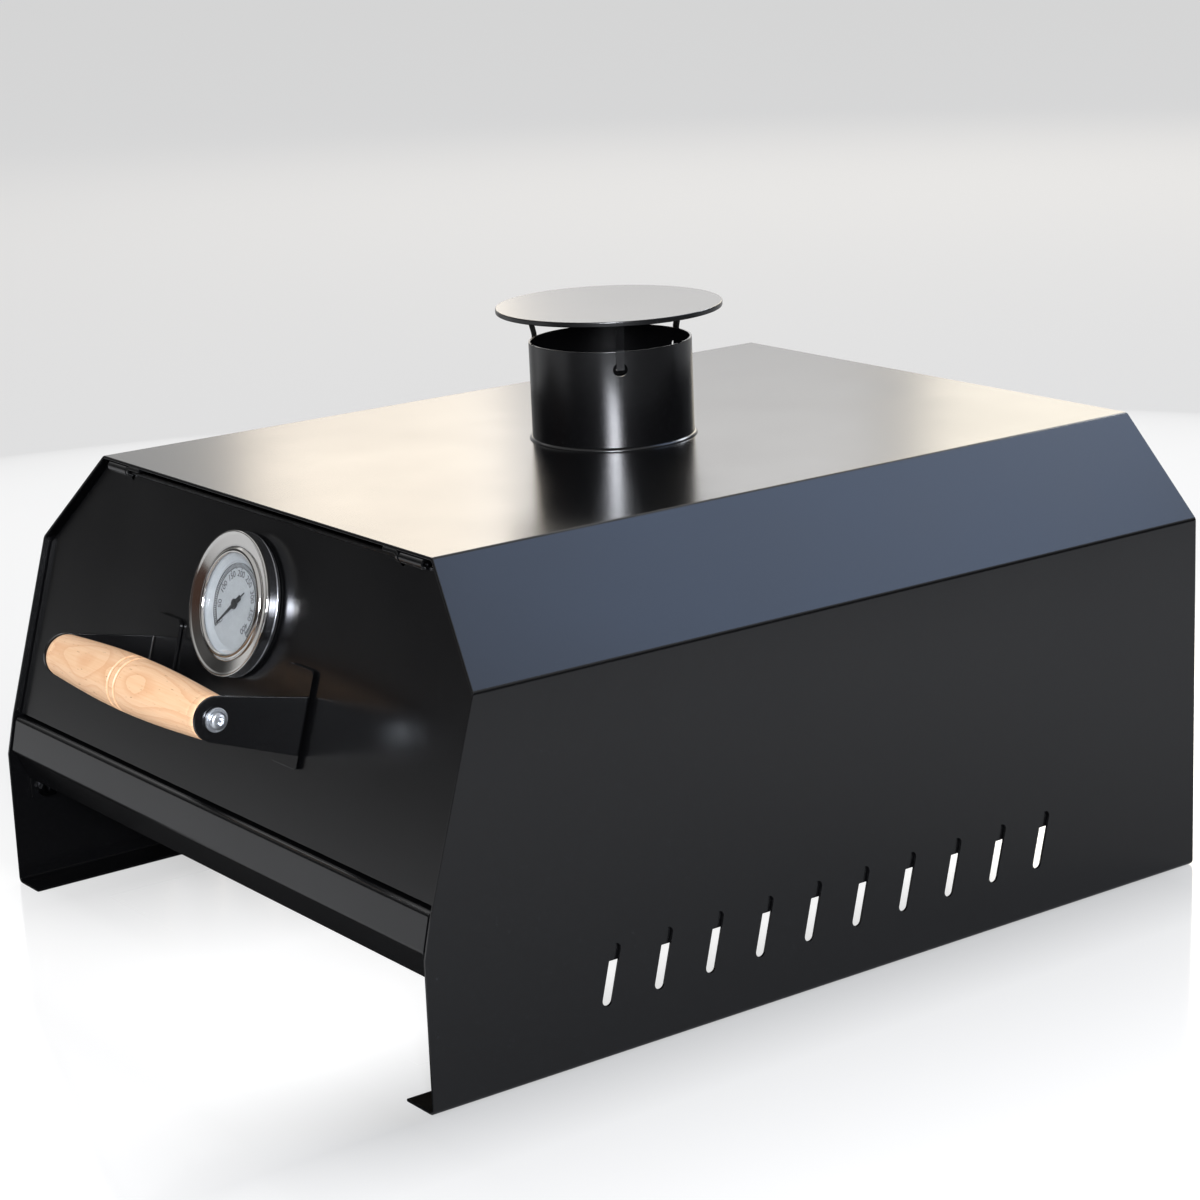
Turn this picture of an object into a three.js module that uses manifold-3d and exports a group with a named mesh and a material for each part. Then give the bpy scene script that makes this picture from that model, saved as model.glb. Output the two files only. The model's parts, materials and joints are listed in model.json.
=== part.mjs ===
// Table-top pizza oven: a folded sheet-steel hood with vent slots, open underneath, with a tray and
// stone inside, a flap door that swings up on a rod under the roof, and a flue with a rain cap.
// Millimetres, +Z up. X runs across the oven, Y runs from the door to the rear.
// The origin is on the surface it stands on, under the middle of its overall size.
import * as THREE from 'three';
import { mergeVertices } from 'three/addons/utils/BufferGeometryUtils.js';
import Module from 'manifold-3d';

const wasm = await Module();
wasm.setup();

// Shared by all the pieces
const sheet = 1.2;
const innerBend = 1.2;
const plateSheet = 1.5;
const fitGap = 0.3;
const overrun = 5;
const endChamfer = 0.5;
const weldDistance = 0.001;
const bendSteps = 4;

// Hood, folded from one sheet
const hoodWidth = 350;
const hoodDepth = 412;
const hoodHeight = 203;
const chamferRun = 42;
const chamferDrop = 42;
const footWidth = 19;
const ledgeHeight = 80;
const sillDrop = 17.5;
const sillSetback = 4;
const doorLean = THREE.MathUtils.degToRad(16.3);

// Vent slots in both side panels
const slotCount = 10;
const slotPitch = 25.75;
const slotLength = 25.5;
const slotWidth = 4.6;
const slotCentreHeight = 34.5;
const firstSlotDepth = 85.4;
const slotTilt = THREE.MathUtils.degToRad(14);

// Tray with the sill folded down at its front
const trayFlangeDrop = 40.5;
const trayFront = 9;
const trayRearInset = 36;
const trayFrontBorder = 36;
const traySideBorder = 18;
const trayRearBorder = 20;
const trayLipDrop = 14;
const sillReturn = 8.4;
const sillRecess = 0.6;
const sillEndGap = 1.7;

// Pizza stone, a square of 305 that fills the tray's opening
const stoneThickness = 12;
const stoneProud = 2;
const stoneCorner = 9;
const stoneEdge = 1.4;
const stonePlay = 3;
const railFlange = 14;
const railShelf = 12;
const railEndInset = 15.5;

// Studs and nuts that hold the tray to the hood
const studRadius = 2.4;
const studLength = 8;
const studInset = 4.5;
const studFrontDepth = 16.8;
const studRearInset = 28;
const studHoleRadius = 2.9;
const nutAcrossFlats = 8;
const nutThickness = 3.6;
const nutFlangeRadius = 5;
const nutFlangeThickness = 1.1;

// Rear panel
const rearInset = 0.8;
const rearFlange = 12;

// Door, measured on the slope that the hood's front edges lie in
const doorRecess = 3.3;
const doorSideGap = 1;
const doorChamferGap = 2.4;
const doorTopGap = 3.4;
const doorBottomRise = 2.2;
const stopLeg = 16;
const stopWidth = 12;
const stopStart = 7.5;
const stopTopGap = 4.4;

// Rod hinge under the roof's front edge
const rodRadius = 1;
const rodInset = 4;
const hingePlay = 0.2;
const knuckleWidth = 16;
const knuckleInset = 14.1;
const knuckleTail = 4;
const knuckleSweep = THREE.MathUtils.degToRad(285);
const earGap = 0.9;
const earFlange = 11;
const earRadius = 2.4;
const earBend = 0.5;
const earNotchGap = 1.1;

// Handle: two folded brackets, a turned grip, bolts and washers
const armOuter = 64.9;
const baseWidth = 21;
const baseBottom = 29.6;
const baseTop = 70.3;
const baseCorner = 3;
const armRootHeight = 25;
const armEndRadius = 9.3;
const handleReach = 43;
const handleRise = 47.6;
const boltHoleRadius = 2.8;
const gripEndRadius = 9.3;
const gripMiddleRadius = 11.8;
const gripEndRound = 1.6;
const gripGrooveDepth = 0.8;
const gripGrooveWidth = 1.6;
const gripGrooveSpacing = 5.2;
const gripBoreRadius = 2.5;
const gripBoreDepth = 26;
const boltRadius = 2.1;
const boltLength = 24;
const boltHeadRadius = 4.1;
const boltHeadHeight = 2.8;
const boltShoulderShare = 0.82;
const boltCrownShare = 0.88;
const washerRadius = 5;
const washerBore = 2.6;
const washerThickness = 1;

// Thermometer, heights measured outwards from the door's face
const gaugeDrop = 39.5;
const gaugeRadius = 30.5;
const gaugeHeight = 7.6;
const gaugeBodyRadius = 29.4;
const gaugeBackRadius = 27.6;
const gaugeSeat = 1.3;
const gaugeFloor = 1.1;
const gaugeGroove = 0.4;
const gaugeWindowRadius = 24;
const gaugePocketRadius = 25.2;
const gaugePocketTop = 5.5;
const gaugeLipDrop = 1.2;
const gasketRadius = 28.4;
const gasketInner = 20;
const gasketThickness = 0.7;
const dialThickness = 0.6;
const lensThickness = 0.9;
const spindleRadius = 0.9;
const pointerLength = 17;
const pointerTail = 6.5;
const pointerHalfWidth = 0.9;
const pointerTailHalfWidth = 1.5;
const pointerThickness = 0.3;
const pointerHubRadius = 2.3;
const pointerRise = 0.35;
const pointerAngle = THREE.MathUtils.degToRad(-132);
const stemRadius = 3.2;
const stemLength = 38;
const stemThreadRadius = 5;
const stemThreadLength = 9;
const stemWall = 1;
const lockNutAcrossFlats = 15;
const lockNutThickness = 4;

// Flue tube and its rain cap, heights measured from the roof
const flueDepth = 225;
const tubeRadius = 36.2;
const tubeWall = 1;
const tubeRise = 43.5;
const tubeDrop = 7;
const beadWidth = 1.1;
const beadHeight = 1.3;
const flueFlangeWidth = 12;
const capRadius = 50.2;
const capRise = 59;
const capRim = 2.3;
const strapSheet = 1;
const strapWidth = 4.6;
const strapStart = 18;
const strapGap = 0.4;
const strapHookRise = 34.2;
const strapHookLength = 4.4;
const hookHoleWidth = 8;
const hookHoleHeight = 6.5;
const hookHoleRise = 35.5;

// Finishes
const blackCoat = new THREE.MeshStandardMaterial({ color: 0x262628, roughness: 0.48, metalness: 0.35 });
const chrome = new THREE.MeshStandardMaterial({ color: 0xd4d6d9, roughness: 0.1, metalness: 1 });
const zinc = new THREE.MeshStandardMaterial({ color: 0xb4b7ba, roughness: 0.3, metalness: 0.95 });
const darkZinc = new THREE.MeshStandardMaterial({ color: 0x4b4b4d, roughness: 0.42, metalness: 0.85 });
const beech = new THREE.MeshStandardMaterial({ color: 0xd9b48a, roughness: 0.55, metalness: 0 });
const cordierite = new THREE.MeshStandardMaterial({ color: 0xcdbb9b, roughness: 0.92, metalness: 0 });
const dialPaint = new THREE.MeshStandardMaterial({ color: 0xdadcdc, roughness: 0.5, metalness: 0 });
const glass = new THREE.MeshStandardMaterial({
  color: 0xe9f1f3, roughness: 0.05, metalness: 0, transparent: true, opacity: 0.3,
});
const needlePaint = new THREE.MeshStandardMaterial({ color: 0x17181a, roughness: 0.5, metalness: 0 });
const siliconeRubber = new THREE.MeshStandardMaterial({ color: 0x121213, roughness: 0.7, metalness: 0 });

// A closed geometry as a solid for joining and cutting
function solidOf(geometry) {
  geometry.deleteAttribute('normal');
  geometry.deleteAttribute('uv');
  const merged = mergeVertices(geometry, weldDistance);
  const corners = merged.index.array;
  const triangles = [];
  for (let i = 0; i < corners.length; i += 3) {
    const [a, b, c] = corners.slice(i, i + 3);
    if (a !== b && b !== c && c !== a) triangles.push([a, b, c]);
  }
  const build = (list) => new wasm.Manifold(new wasm.Mesh({
    numProp: 3,
    vertProperties: new Float32Array(merged.attributes.position.array),
    triVerts: new Uint32Array(list.flat()),
  }));
  const body = build(triangles);
  if (body.volume() > 0) return body;
  return build(triangles.map(([a, b, c]) => [a, c, b]));
}

function joinAll(bodies) {
  return bodies.reduce((whole, body) => whole.add(body));
}

function cutAll(body, cutters) {
  return cutters.reduce((rest, cutter) => rest.subtract(cutter), body);
}

function addPart(parent, name, body, material) {
  const { vertProperties, triVerts } = body.getMesh();
  const geometry = new THREE.BufferGeometry();
  geometry.setAttribute('position', new THREE.BufferAttribute(vertProperties, 3));
  geometry.setIndex(new THREE.BufferAttribute(triVerts, 1));
  geometry.computeVertexNormals();
  const mesh = new THREE.Mesh(geometry, material);
  mesh.name = name;
  parent.add(mesh);
  return mesh;
}

// A closed outline as a shape; points are [x, y] pairs
function shapeOf(points) {
  return new THREE.Shape(points.map(([x, y]) => new THREE.Vector2(x, y)));
}

function extrude(shape, length, curveSegments = 12) {
  return new THREE.ExtrudeGeometry(shape, { depth: length, bevelEnabled: false, curveSegments });
}

// An outline in (y, z), extruded along X
function alongX(shape, start, end, curveSegments) {
  const geometry = extrude(shape, end - start, curveSegments);
  const across = new THREE.Vector3(1, 0, 0);
  const back = new THREE.Vector3(0, 1, 0);
  const up = new THREE.Vector3(0, 0, 1);
  geometry.applyMatrix4(new THREE.Matrix4().makeBasis(back, up, across));
  geometry.translate(start, 0, 0);
  return solidOf(geometry);
}

// An outline in (x, z), extruded along Y
function alongY(shape, start, end, curveSegments) {
  const geometry = extrude(shape, end - start, curveSegments);
  geometry.rotateX(Math.PI / 2);
  geometry.translate(0, end, 0);
  return solidOf(geometry);
}

// An outline in (x, y), extruded along Z
function alongZ(shape, start, end, curveSegments) {
  const geometry = extrude(shape, end - start, curveSegments);
  geometry.translate(0, 0, start);
  return solidOf(geometry);
}

// A profile of [radius, height] pairs turned about the Y axis
function turned(profile, segments) {
  const points = profile.map(([radius, height]) => new THREE.Vector2(radius, height));
  return solidOf(new THREE.LatheGeometry(points, segments));
}

// The same profile closed on itself, for pieces with a bore
function turnedRing(profile, segments) {
  return turned([...profile, profile[0]], segments);
}

function drillAlongX(radius, start, end, y, z, segments = 16) {
  const geometry = new THREE.CylinderGeometry(radius, radius, end - start, segments);
  geometry.rotateZ(Math.PI / 2);
  geometry.translate((start + end) / 2, y, z);
  return solidOf(geometry);
}

function rectangle(left, bottom, right, top) {
  return shapeOf([[left, bottom], [right, bottom], [right, top], [left, top]]);
}

function roundedRectangle(left, bottom, right, top, radius) {
  const shape = new THREE.Shape();
  shape.moveTo(left + radius, bottom);
  shape.lineTo(right - radius, bottom);
  shape.absarc(right - radius, bottom + radius, radius, -Math.PI / 2, 0);
  shape.lineTo(right, top - radius);
  shape.absarc(right - radius, top - radius, radius, 0, Math.PI / 2);
  shape.lineTo(left + radius, top);
  shape.absarc(left + radius, top - radius, radius, Math.PI / 2, Math.PI);
  shape.lineTo(left, bottom + radius);
  shape.absarc(left + radius, bottom + radius, radius, Math.PI, Math.PI * 1.5);
  return shape;
}

// A slot with round ends, centred at (x, y), leaning from the upright by the tilt
function slotShape(x, y, length, width, tilt) {
  const radius = width / 2;
  const reach = length / 2 - radius;
  const top = [x + reach * Math.sin(tilt), y + reach * Math.cos(tilt)];
  const bottom = [x - reach * Math.sin(tilt), y - reach * Math.cos(tilt)];
  const shape = new THREE.Shape();
  shape.absarc(top[0], top[1], radius, -tilt, Math.PI - tilt);
  shape.absarc(bottom[0], bottom[1], radius, Math.PI - tilt, 2 * Math.PI - tilt);
  return shape;
}

function hexagon(acrossFlats) {
  const radius = acrossFlats / Math.sqrt(3);
  const points = [];
  for (let i = 0; i < 6; i += 1) {
    points.push([radius * Math.cos(i * Math.PI / 3), radius * Math.sin(i * Math.PI / 3)]);
  }
  return shapeOf(points);
}

// Moves each run of an open path to its right by its own distance and meets the runs at corners
function insetPath(path, distances) {
  const runs = distances.map((distance, i) => {
    const start = new THREE.Vector2(...path[i]);
    const along = new THREE.Vector2(...path[i + 1]).sub(start).normalize();
    const right = new THREE.Vector2(along.y, -along.x);
    return { start: start.addScaledVector(right, distance), along };
  });
  const last = new THREE.Vector2(...path[path.length - 1]);
  const end = runs[runs.length - 1];
  const points = [[runs[0].start.x, runs[0].start.y]];
  for (let i = 1; i < runs.length; i += 1) {
    const a = runs[i - 1];
    const b = runs[i];
    const gap = b.start.clone().sub(a.start);
    const reach = gap.cross(b.along) / a.along.cross(b.along);
    points.push([a.start.x + a.along.x * reach, a.start.y + a.along.y * reach]);
  }
  const tail = end.start.clone().addScaledVector(end.along, last.sub(end.start).dot(end.along));
  points.push([tail.x, tail.y]);
  return points;
}

// The bent line of one face of a folded sheet that lies to the right of the path, with its normals.
// Corners that turn to the right are bent round the inner radius plus the sheet's thickness.
function bentFace(path, thickness, bend) {
  const points = path.map(([x, y]) => new THREE.Vector2(x, y));
  const face = [points[0]];
  const normals = [];
  for (let i = 1; i < points.length; i += 1) {
    const along = points[i].clone().sub(points[i - 1]).normalize();
    normals.push(new THREE.Vector2(along.y, -along.x));
  }
  const faceNormals = [normals[0]];
  for (let i = 1; i < points.length - 1; i += 1) {
    const before = normals[i - 1];
    const after = normals[i];
    const turn = Math.atan2(before.cross(after), before.dot(after));
    const radius = turn < 0 ? bend + thickness : bend;
    const side = turn < 0 ? 1 : -1;
    const setback = radius * Math.tan(Math.abs(turn) / 2);
    const along = new THREE.Vector2(-before.y, before.x);
    const centre = points[i].clone().addScaledVector(along, -setback);
    centre.addScaledVector(before, side * radius);
    for (let step = 0; step <= bendSteps; step += 1) {
      const normal = before.clone().rotateAround(new THREE.Vector2(), turn * step / bendSteps);
      face.push(centre.clone().addScaledVector(normal, -side * radius));
      faceNormals.push(normal);
    }
  }
  face.push(points[points.length - 1]);
  faceNormals.push(normals[normals.length - 1]);
  return { face, faceNormals };
}

// The section of a folded sheet: the path is one face, and the sheet lies to its right
function foldedSheet(path, thickness, bend) {
  const { face, faceNormals } = bentFace(path, thickness, bend);
  const back = face.map((point, i) => point.clone().addScaledVector(faceNormals[i], thickness));
  return new THREE.Shape([...face, ...back.reverse()]);
}

function mirrored(path) {
  return path.map(([x, y]) => [-x, y]).reverse();
}

// The oven stands with its nose line at Y = 0 in this group, which is then centred
const oven = new THREE.Group();
const gripAxisDepth = sillSetback + handleRise * Math.sin(doorLean)
  + (doorRecess - handleReach) * Math.cos(doorLean);
const frontmost = gripAxisDepth - gripMiddleRadius;
oven.position.y = -(hoodDepth + frontmost) / 2;

// Outer outline of the hood's section, from the left foot over the roof to the right foot
const halfWidth = hoodWidth / 2;
const shoulder = hoodHeight - chamferDrop;
const noseHeight = ledgeHeight - sillDrop;
const roofHalf = halfWidth - chamferRun;
const roofPath = [[-halfWidth, 0], [-halfWidth, shoulder], [-roofHalf, hoodHeight],
  [roofHalf, hoodHeight], [halfWidth, shoulder], [halfWidth, 0]];
const hoodPath = [[footWidth - halfWidth, 0], ...roofPath, [halfWidth - footWidth, 0]];
const slopeTop = sillSetback + (hoodHeight + overrun - ledgeHeight) * Math.tan(doorLean);

// Hood: roof, chamfers, sides and foot flanges in one bent sheet, cut to the leaning front
const frontCut = shapeOf([[-overrun, noseHeight], [0, noseHeight], [sillSetback, ledgeHeight],
  [slopeTop, hoodHeight + overrun], [-overrun, hoodHeight + overrun]]);
const slotCutters = [];
for (let i = 0; i < slotCount; i += 1) {
  const slot = slotShape(firstSlotDepth + i * slotPitch, slotCentreHeight,
    slotLength, slotWidth, slotTilt);
  slotCutters.push(alongX(slot, -halfWidth - overrun, halfWidth + overrun, 6));
}
const flueHole = new THREE.Shape();
flueHole.absarc(0, flueDepth, tubeRadius + fitGap, 0, 2 * Math.PI);
const hoodBlank = alongY(foldedSheet(hoodPath, sheet, innerBend), 0, hoodDepth);
const hoodBody = cutAll(hoodBlank, [
  alongX(frontCut, -halfWidth - overrun, halfWidth + overrun),
  ...slotCutters,
  alongZ(flueHole, hoodHeight - sheet - overrun, hoodHeight + overrun, 24),
]);
addPart(oven, 'hood_shell', hoodBody, blackCoat);

// Rear panel: a plate with a rim folded forwards that lies inside the hood
const trayFlangeBottom = ledgeHeight - trayFlangeDrop;
const rearGap = sheet + fitGap;
const rearPath = insetPath(roofPath, [rearGap, rearGap, rearGap, rearGap, rearGap]);
rearPath[0][1] = trayFlangeBottom;
rearPath[rearPath.length - 1][1] = trayFlangeBottom;
const rearFace = hoodDepth - rearInset;
const rearRim = alongY(foldedSheet(rearPath, sheet, innerBend), rearFace - rearFlange, rearFace);
const rearOutline = new THREE.Shape(bentFace(rearPath, sheet, innerBend).face);
const rearPlate = alongY(rearOutline, rearFace - sheet, rearFace);
addPart(oven, 'rear_panel', rearRim.add(rearPlate), blackCoat);

// Tray: side flanges folded down inside the hood, the sill folded down at the front and a lip
// at the rear, which leaves a gap before the rear panel where the heat rises
const trayHalf = halfWidth - sheet - fitGap;
const trayRear = hoodDepth - trayRearInset;
const openingHalf = trayHalf - traySideBorder;
const openingFront = trayFront + trayFrontBorder;
const openingRear = trayRear - trayRearBorder;
const trayPath = [[-trayHalf, trayFlangeBottom], [-trayHalf, ledgeHeight],
  [trayHalf, ledgeHeight], [trayHalf, trayFlangeBottom]];
const bendRelief = 2 * (sheet + innerBend);
const trayPlate = alongY(foldedSheet(trayPath, sheet, innerBend), trayFront, trayRear - bendRelief);
const sillHalf = halfWidth - sheet - sillEndGap;
const sillPath = [[sillReturn, noseHeight], [sillRecess, noseHeight],
  [sillSetback + sillRecess, ledgeHeight], [trayFront + overrun, ledgeHeight]];
const sill = alongX(foldedSheet(sillPath, sheet, innerBend), -sillHalf, sillHalf);
const lipHalf = trayHalf - bendRelief;
const lipPath = [[openingRear + innerBend, ledgeHeight], [trayRear, ledgeHeight],
  [trayRear, ledgeHeight - trayLipDrop]];
const rearLip = alongX(foldedSheet(lipPath, sheet, innerBend), -lipHalf, lipHalf);
const stoneOpening = roundedRectangle(-openingHalf, openingFront, openingHalf, openingRear,
  stoneCorner);
const trayCutters = [alongZ(stoneOpening, ledgeHeight - sheet - overrun, ledgeHeight + overrun, 5)];
const studRearDepth = trayRear - studRearInset;
const studHeight = trayFlangeBottom + studInset;
for (const depth of [studFrontDepth, studRearDepth]) {
  const reach = halfWidth + overrun;
  trayCutters.push(drillAlongX(studHoleRadius, -reach, reach, depth, studHeight));
}
addPart(oven, 'floor_tray', cutAll(joinAll([trayPlate, sill, rearLip]), trayCutters), blackCoat);

// Two folded rails under the tray's opening carry the stone
const stoneTop = ledgeHeight + stoneProud;
const stoneUnderside = stoneTop - stoneThickness;
const shelfTop = stoneUnderside - fitGap;
const trayUnderside = ledgeHeight - sheet;
const railHalf = openingHalf - railEndInset;
function stoneRail(name, depth, inward) {
  const path = [[-railFlange, trayUnderside], [0, trayUnderside], [0, shelfTop], [railShelf, shelfTop]];
  const rail = alongX(foldedSheet(path, sheet, innerBend), -railHalf, railHalf);
  const mesh = addPart(oven, name, rail, blackCoat);
  mesh.position.y = depth;
  mesh.rotation.z = inward > 0 ? 0 : Math.PI;
}
stoneRail('stone_rail_front', openingFront, 1);
stoneRail('stone_rail_rear', openingRear, -1);

// Pizza stone: a square slab with eased edges and some play in the opening
const stoneWidth = 2 * (openingHalf - stonePlay);
const stoneFront = openingFront + stonePlay;
const stoneDepth = openingRear - stonePlay - stoneFront;
const stoneGeometry = new THREE.ExtrudeGeometry(
  roundedRectangle(stoneEdge - stoneWidth / 2, stoneEdge - stoneDepth / 2,
    stoneWidth / 2 - stoneEdge, stoneDepth / 2 - stoneEdge, stoneCorner - stoneEdge),
  {
    depth: stoneThickness - 2 * stoneEdge,
    bevelThickness: stoneEdge,
    bevelSize: stoneEdge,
    bevelSegments: 1,
    curveSegments: 5,
  },
);
const stone = addPart(oven, 'pizza_stone', solidOf(stoneGeometry), cordierite);
stone.position.set(0, stoneFront + stoneDepth / 2, stoneUnderside + stoneEdge);

// Studs welded to the side panels pass through the tray's flanges and take flanged nuts
const studProfile = [[0, 0], [studRadius, 0], [studRadius, studLength - endChamfer],
  [studRadius - endChamfer, studLength], [0, studLength]];
const studBody = turned(studProfile, 16);
const nutBore = turned([[0, -overrun], [studHoleRadius, -overrun],
  [studHoleRadius, nutThickness + overrun], [0, nutThickness + overrun]], 16);
const nutHex = solidOf(extrude(hexagon(nutAcrossFlats), nutThickness).rotateX(-Math.PI / 2));
const nutFlange = turned([[0, 0], [nutFlangeRadius, 0],
  [nutFlangeRadius, nutFlangeThickness / 2], [nutAcrossFlats / 2, nutFlangeThickness],
  [0, nutFlangeThickness]], 20);
const nutBody = nutHex.add(nutFlange).subtract(nutBore);
for (const [sideName, side] of [['left', -1], ['right', 1]]) {
  for (const [endName, depth] of [['front', studFrontDepth], ['rear', studRearDepth]]) {
    const stud = addPart(oven, `tray_stud_${endName}_${sideName}`, studBody, darkZinc);
    stud.position.set(side * (halfWidth - sheet), depth, studHeight);
    stud.rotation.z = side * Math.PI / 2;
    const nut = addPart(oven, `tray_nut_${endName}_${sideName}`, nutBody, darkZinc);
    nut.position.set(side * (trayHalf - sheet), depth, studHeight);
    nut.rotation.z = side * Math.PI / 2;
  }
}

// The slope group lies in the plane of the hood's front edges: X across, Y inwards, Z up the slope
const slope = new THREE.Group();
slope.position.set(0, sillSetback, ledgeHeight);
slope.rotation.x = -doorLean;
oven.add(slope);
const sinLean = Math.sin(doorLean);
const cosLean = Math.cos(doorLean);
const riseOnSlope = (height, depth) => (height - ledgeHeight + depth * sinLean) / cosLean;

// The door's sheet curls outwards over the rod, close under the roof
const doorBack = doorRecess + sheet;
const roofUnderside = hoodHeight - sheet;
const knuckleInner = rodRadius + hingePlay;
const knuckleOuter = knuckleInner + sheet;
const axisDepth = doorBack - knuckleOuter;
const hingeHeight = roofUnderside - hingePlay - knuckleOuter;
const axisRise = riseOnSlope(hingeHeight, axisDepth);
const hingeDepth = sillSetback + axisRise * sinLean + axisDepth * cosLean;

// Door: a plate that follows the hood's outline, with two knuckles curled over from its top edge
const door = new THREE.Group();
slope.add(door);
const doorOutline = insetPath(roofPath, [sheet + doorSideGap, sheet + doorChamferGap,
  sheet + doorTopGap, sheet + doorChamferGap, sheet + doorSideGap])
  .map(([x, height]) => [x, riseOnSlope(height, doorRecess)]);
doorOutline[0][1] = doorBottomRise;
doorOutline[doorOutline.length - 1][1] = doorBottomRise;
const doorPlate = alongY(shapeOf([...doorOutline].reverse()), doorRecess, doorBack);
const knuckleCentre = roofHalf - knuckleInset;
const earOuter = knuckleCentre - knuckleWidth / 2 - earGap;
const earInner = earOuter - plateSheet;
const curlSteps = 18;
const curlOuter = [];
const curlInner = [];
for (let i = 0; i <= curlSteps; i += 1) {
  const angle = knuckleSweep * i / curlSteps;
  const direction = [Math.cos(angle), Math.sin(angle)];
  curlOuter.push([axisDepth + knuckleOuter * direction[0], axisRise + knuckleOuter * direction[1]]);
  curlInner.push([axisDepth + knuckleInner * direction[0], axisRise + knuckleInner * direction[1]]);
}
const knuckleShape = shapeOf([[doorBack, axisRise - knuckleTail], ...curlOuter,
  ...curlInner.reverse(), [doorRecess, axisRise - knuckleTail]]);
const notchBottom = axisRise - earRadius - earNotchGap;
const gaugeRise = axisRise - gaugeDrop;
const gaugeHole = turned([[0, -overrun], [stemThreadRadius + fitGap, -overrun],
  [stemThreadRadius + fitGap, doorBack + overrun], [0, doorBack + overrun]], 24)
  .translate([0, 0, gaugeRise]);
const knuckles = [];
const notches = [];
for (const side of [-1, 1]) {
  const centre = side * knuckleCentre;
  knuckles.push(alongX(knuckleShape, centre - knuckleWidth / 2, centre + knuckleWidth / 2));
  const notchEdges = [side * (earOuter + earGap), side * (earInner - earGap)];
  const notch = rectangle(Math.min(...notchEdges), notchBottom, Math.max(...notchEdges),
    axisRise + overrun);
  notches.push(alongY(notch, -overrun, doorBack + overrun));
}
const doorBody = cutAll(joinAll([doorPlate, ...knuckles]), [gaugeHole, ...notches]);
addPart(door, 'door_panel', doorBody, blackCoat);

// Rod of the hinge, and the two ears that hang it under the roof
const rodHalfLength = roofHalf - rodInset;
const rodProfile = [[0, -rodHalfLength], [rodRadius - endChamfer, -rodHalfLength],
  [rodRadius, endChamfer - rodHalfLength], [rodRadius, rodHalfLength - endChamfer],
  [rodRadius - endChamfer, rodHalfLength], [0, rodHalfLength]];
const rod = addPart(oven, 'hinge_rod', turned(rodProfile, 16), darkZinc);
rod.position.set(0, hingeDepth, hingeHeight);
rod.rotation.z = Math.PI / 2;
const earTop = axisRise + (roofUnderside + overrun - hingeHeight) / cosLean;
const onSection = (depth, rise) => [sillSetback + rise * sinLean + depth * cosLean,
  ledgeHeight + rise * cosLean - depth * sinLean];
const earOutline = new THREE.Shape();
earOutline.moveTo(...onSection(axisDepth + earRadius, earTop));
earOutline.lineTo(...onSection(axisDepth - earRadius, earTop));
earOutline.absarc(hingeDepth, hingeHeight, earRadius, Math.PI - doorLean, 2 * Math.PI - doorLean);
const earPath = [[earOuter - earFlange, roofUnderside], [earOuter, roofUnderside],
  [earOuter, hingeHeight - earRadius - overrun]];
for (const [name, path] of [['hinge_ear_right', earPath], ['hinge_ear_left', mirrored(earPath)]]) {
  const folded = alongY(foldedSheet(path, plateSheet, earBend),
    hingeDepth - earRadius - overrun, hingeDepth + earRadius + overrun);
  const ear = folded.intersect(alongX(earOutline, -halfWidth, halfWidth, 8))
    .subtract(drillAlongX(knuckleInner, -halfWidth, halfWidth, hingeDepth, hingeHeight));
  addPart(oven, name, ear, blackCoat);
}

// Angles inside the side panels that the closed door rests against
const stopFace = doorBack + fitGap;
const stopEnd = riseOnSlope(shoulder, doorRecess) - stopTopGap;
const stopPath = [[trayHalf, stopFace + stopLeg], [trayHalf, stopFace], [trayHalf - stopWidth, stopFace]];
for (const [name, path] of [['door_stop_right', stopPath], ['door_stop_left', mirrored(stopPath)]]) {
  const angle = alongZ(foldedSheet(path, sheet, innerBend), stopStart, stopEnd);
  addPart(slope, name, angle, blackCoat);
}

// Handle brackets: a base on the door and an arm folded out of it, tapering to a round end
const baseFace = doorRecess - fitGap;
const armEndDepth = doorRecess - handleReach;
const taper = Math.atan2(armRootHeight / 2 - armEndRadius, baseFace - armEndDepth);
const armOutline = new THREE.Shape();
armOutline.absarc(armEndDepth, handleRise, armEndRadius, Math.PI / 2 + taper, 1.5 * Math.PI - taper);
armOutline.lineTo(baseFace + overrun, handleRise - armRootHeight / 2);
armOutline.lineTo(baseFace + overrun, handleRise + armRootHeight / 2);
const bracketPath = [[armOuter - baseWidth, baseFace], [armOuter, baseFace],
  [armOuter, armEndDepth - armEndRadius - overrun]];
for (const [name, side] of [['handle_bracket_right', 1], ['handle_bracket_left', -1]]) {
  const path = side > 0 ? bracketPath : mirrored(bracketPath);
  const folded = alongZ(foldedSheet(path, plateSheet, innerBend), baseBottom, baseTop);
  const edges = [side * (armOuter - baseWidth), side * armOuter];
  const base = alongY(roundedRectangle(Math.min(...edges), baseBottom, Math.max(...edges), baseTop,
    baseCorner), baseFace - plateSheet, baseFace + overrun, 4);
  const arm = alongX(armOutline, -halfWidth, halfWidth, 12);
  const bracket = folded.intersect(base.add(arm))
    .subtract(drillAlongX(boltHoleRadius, -halfWidth, halfWidth, armEndDepth, handleRise));
  addPart(door, name, bracket, blackCoat);
}

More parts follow.
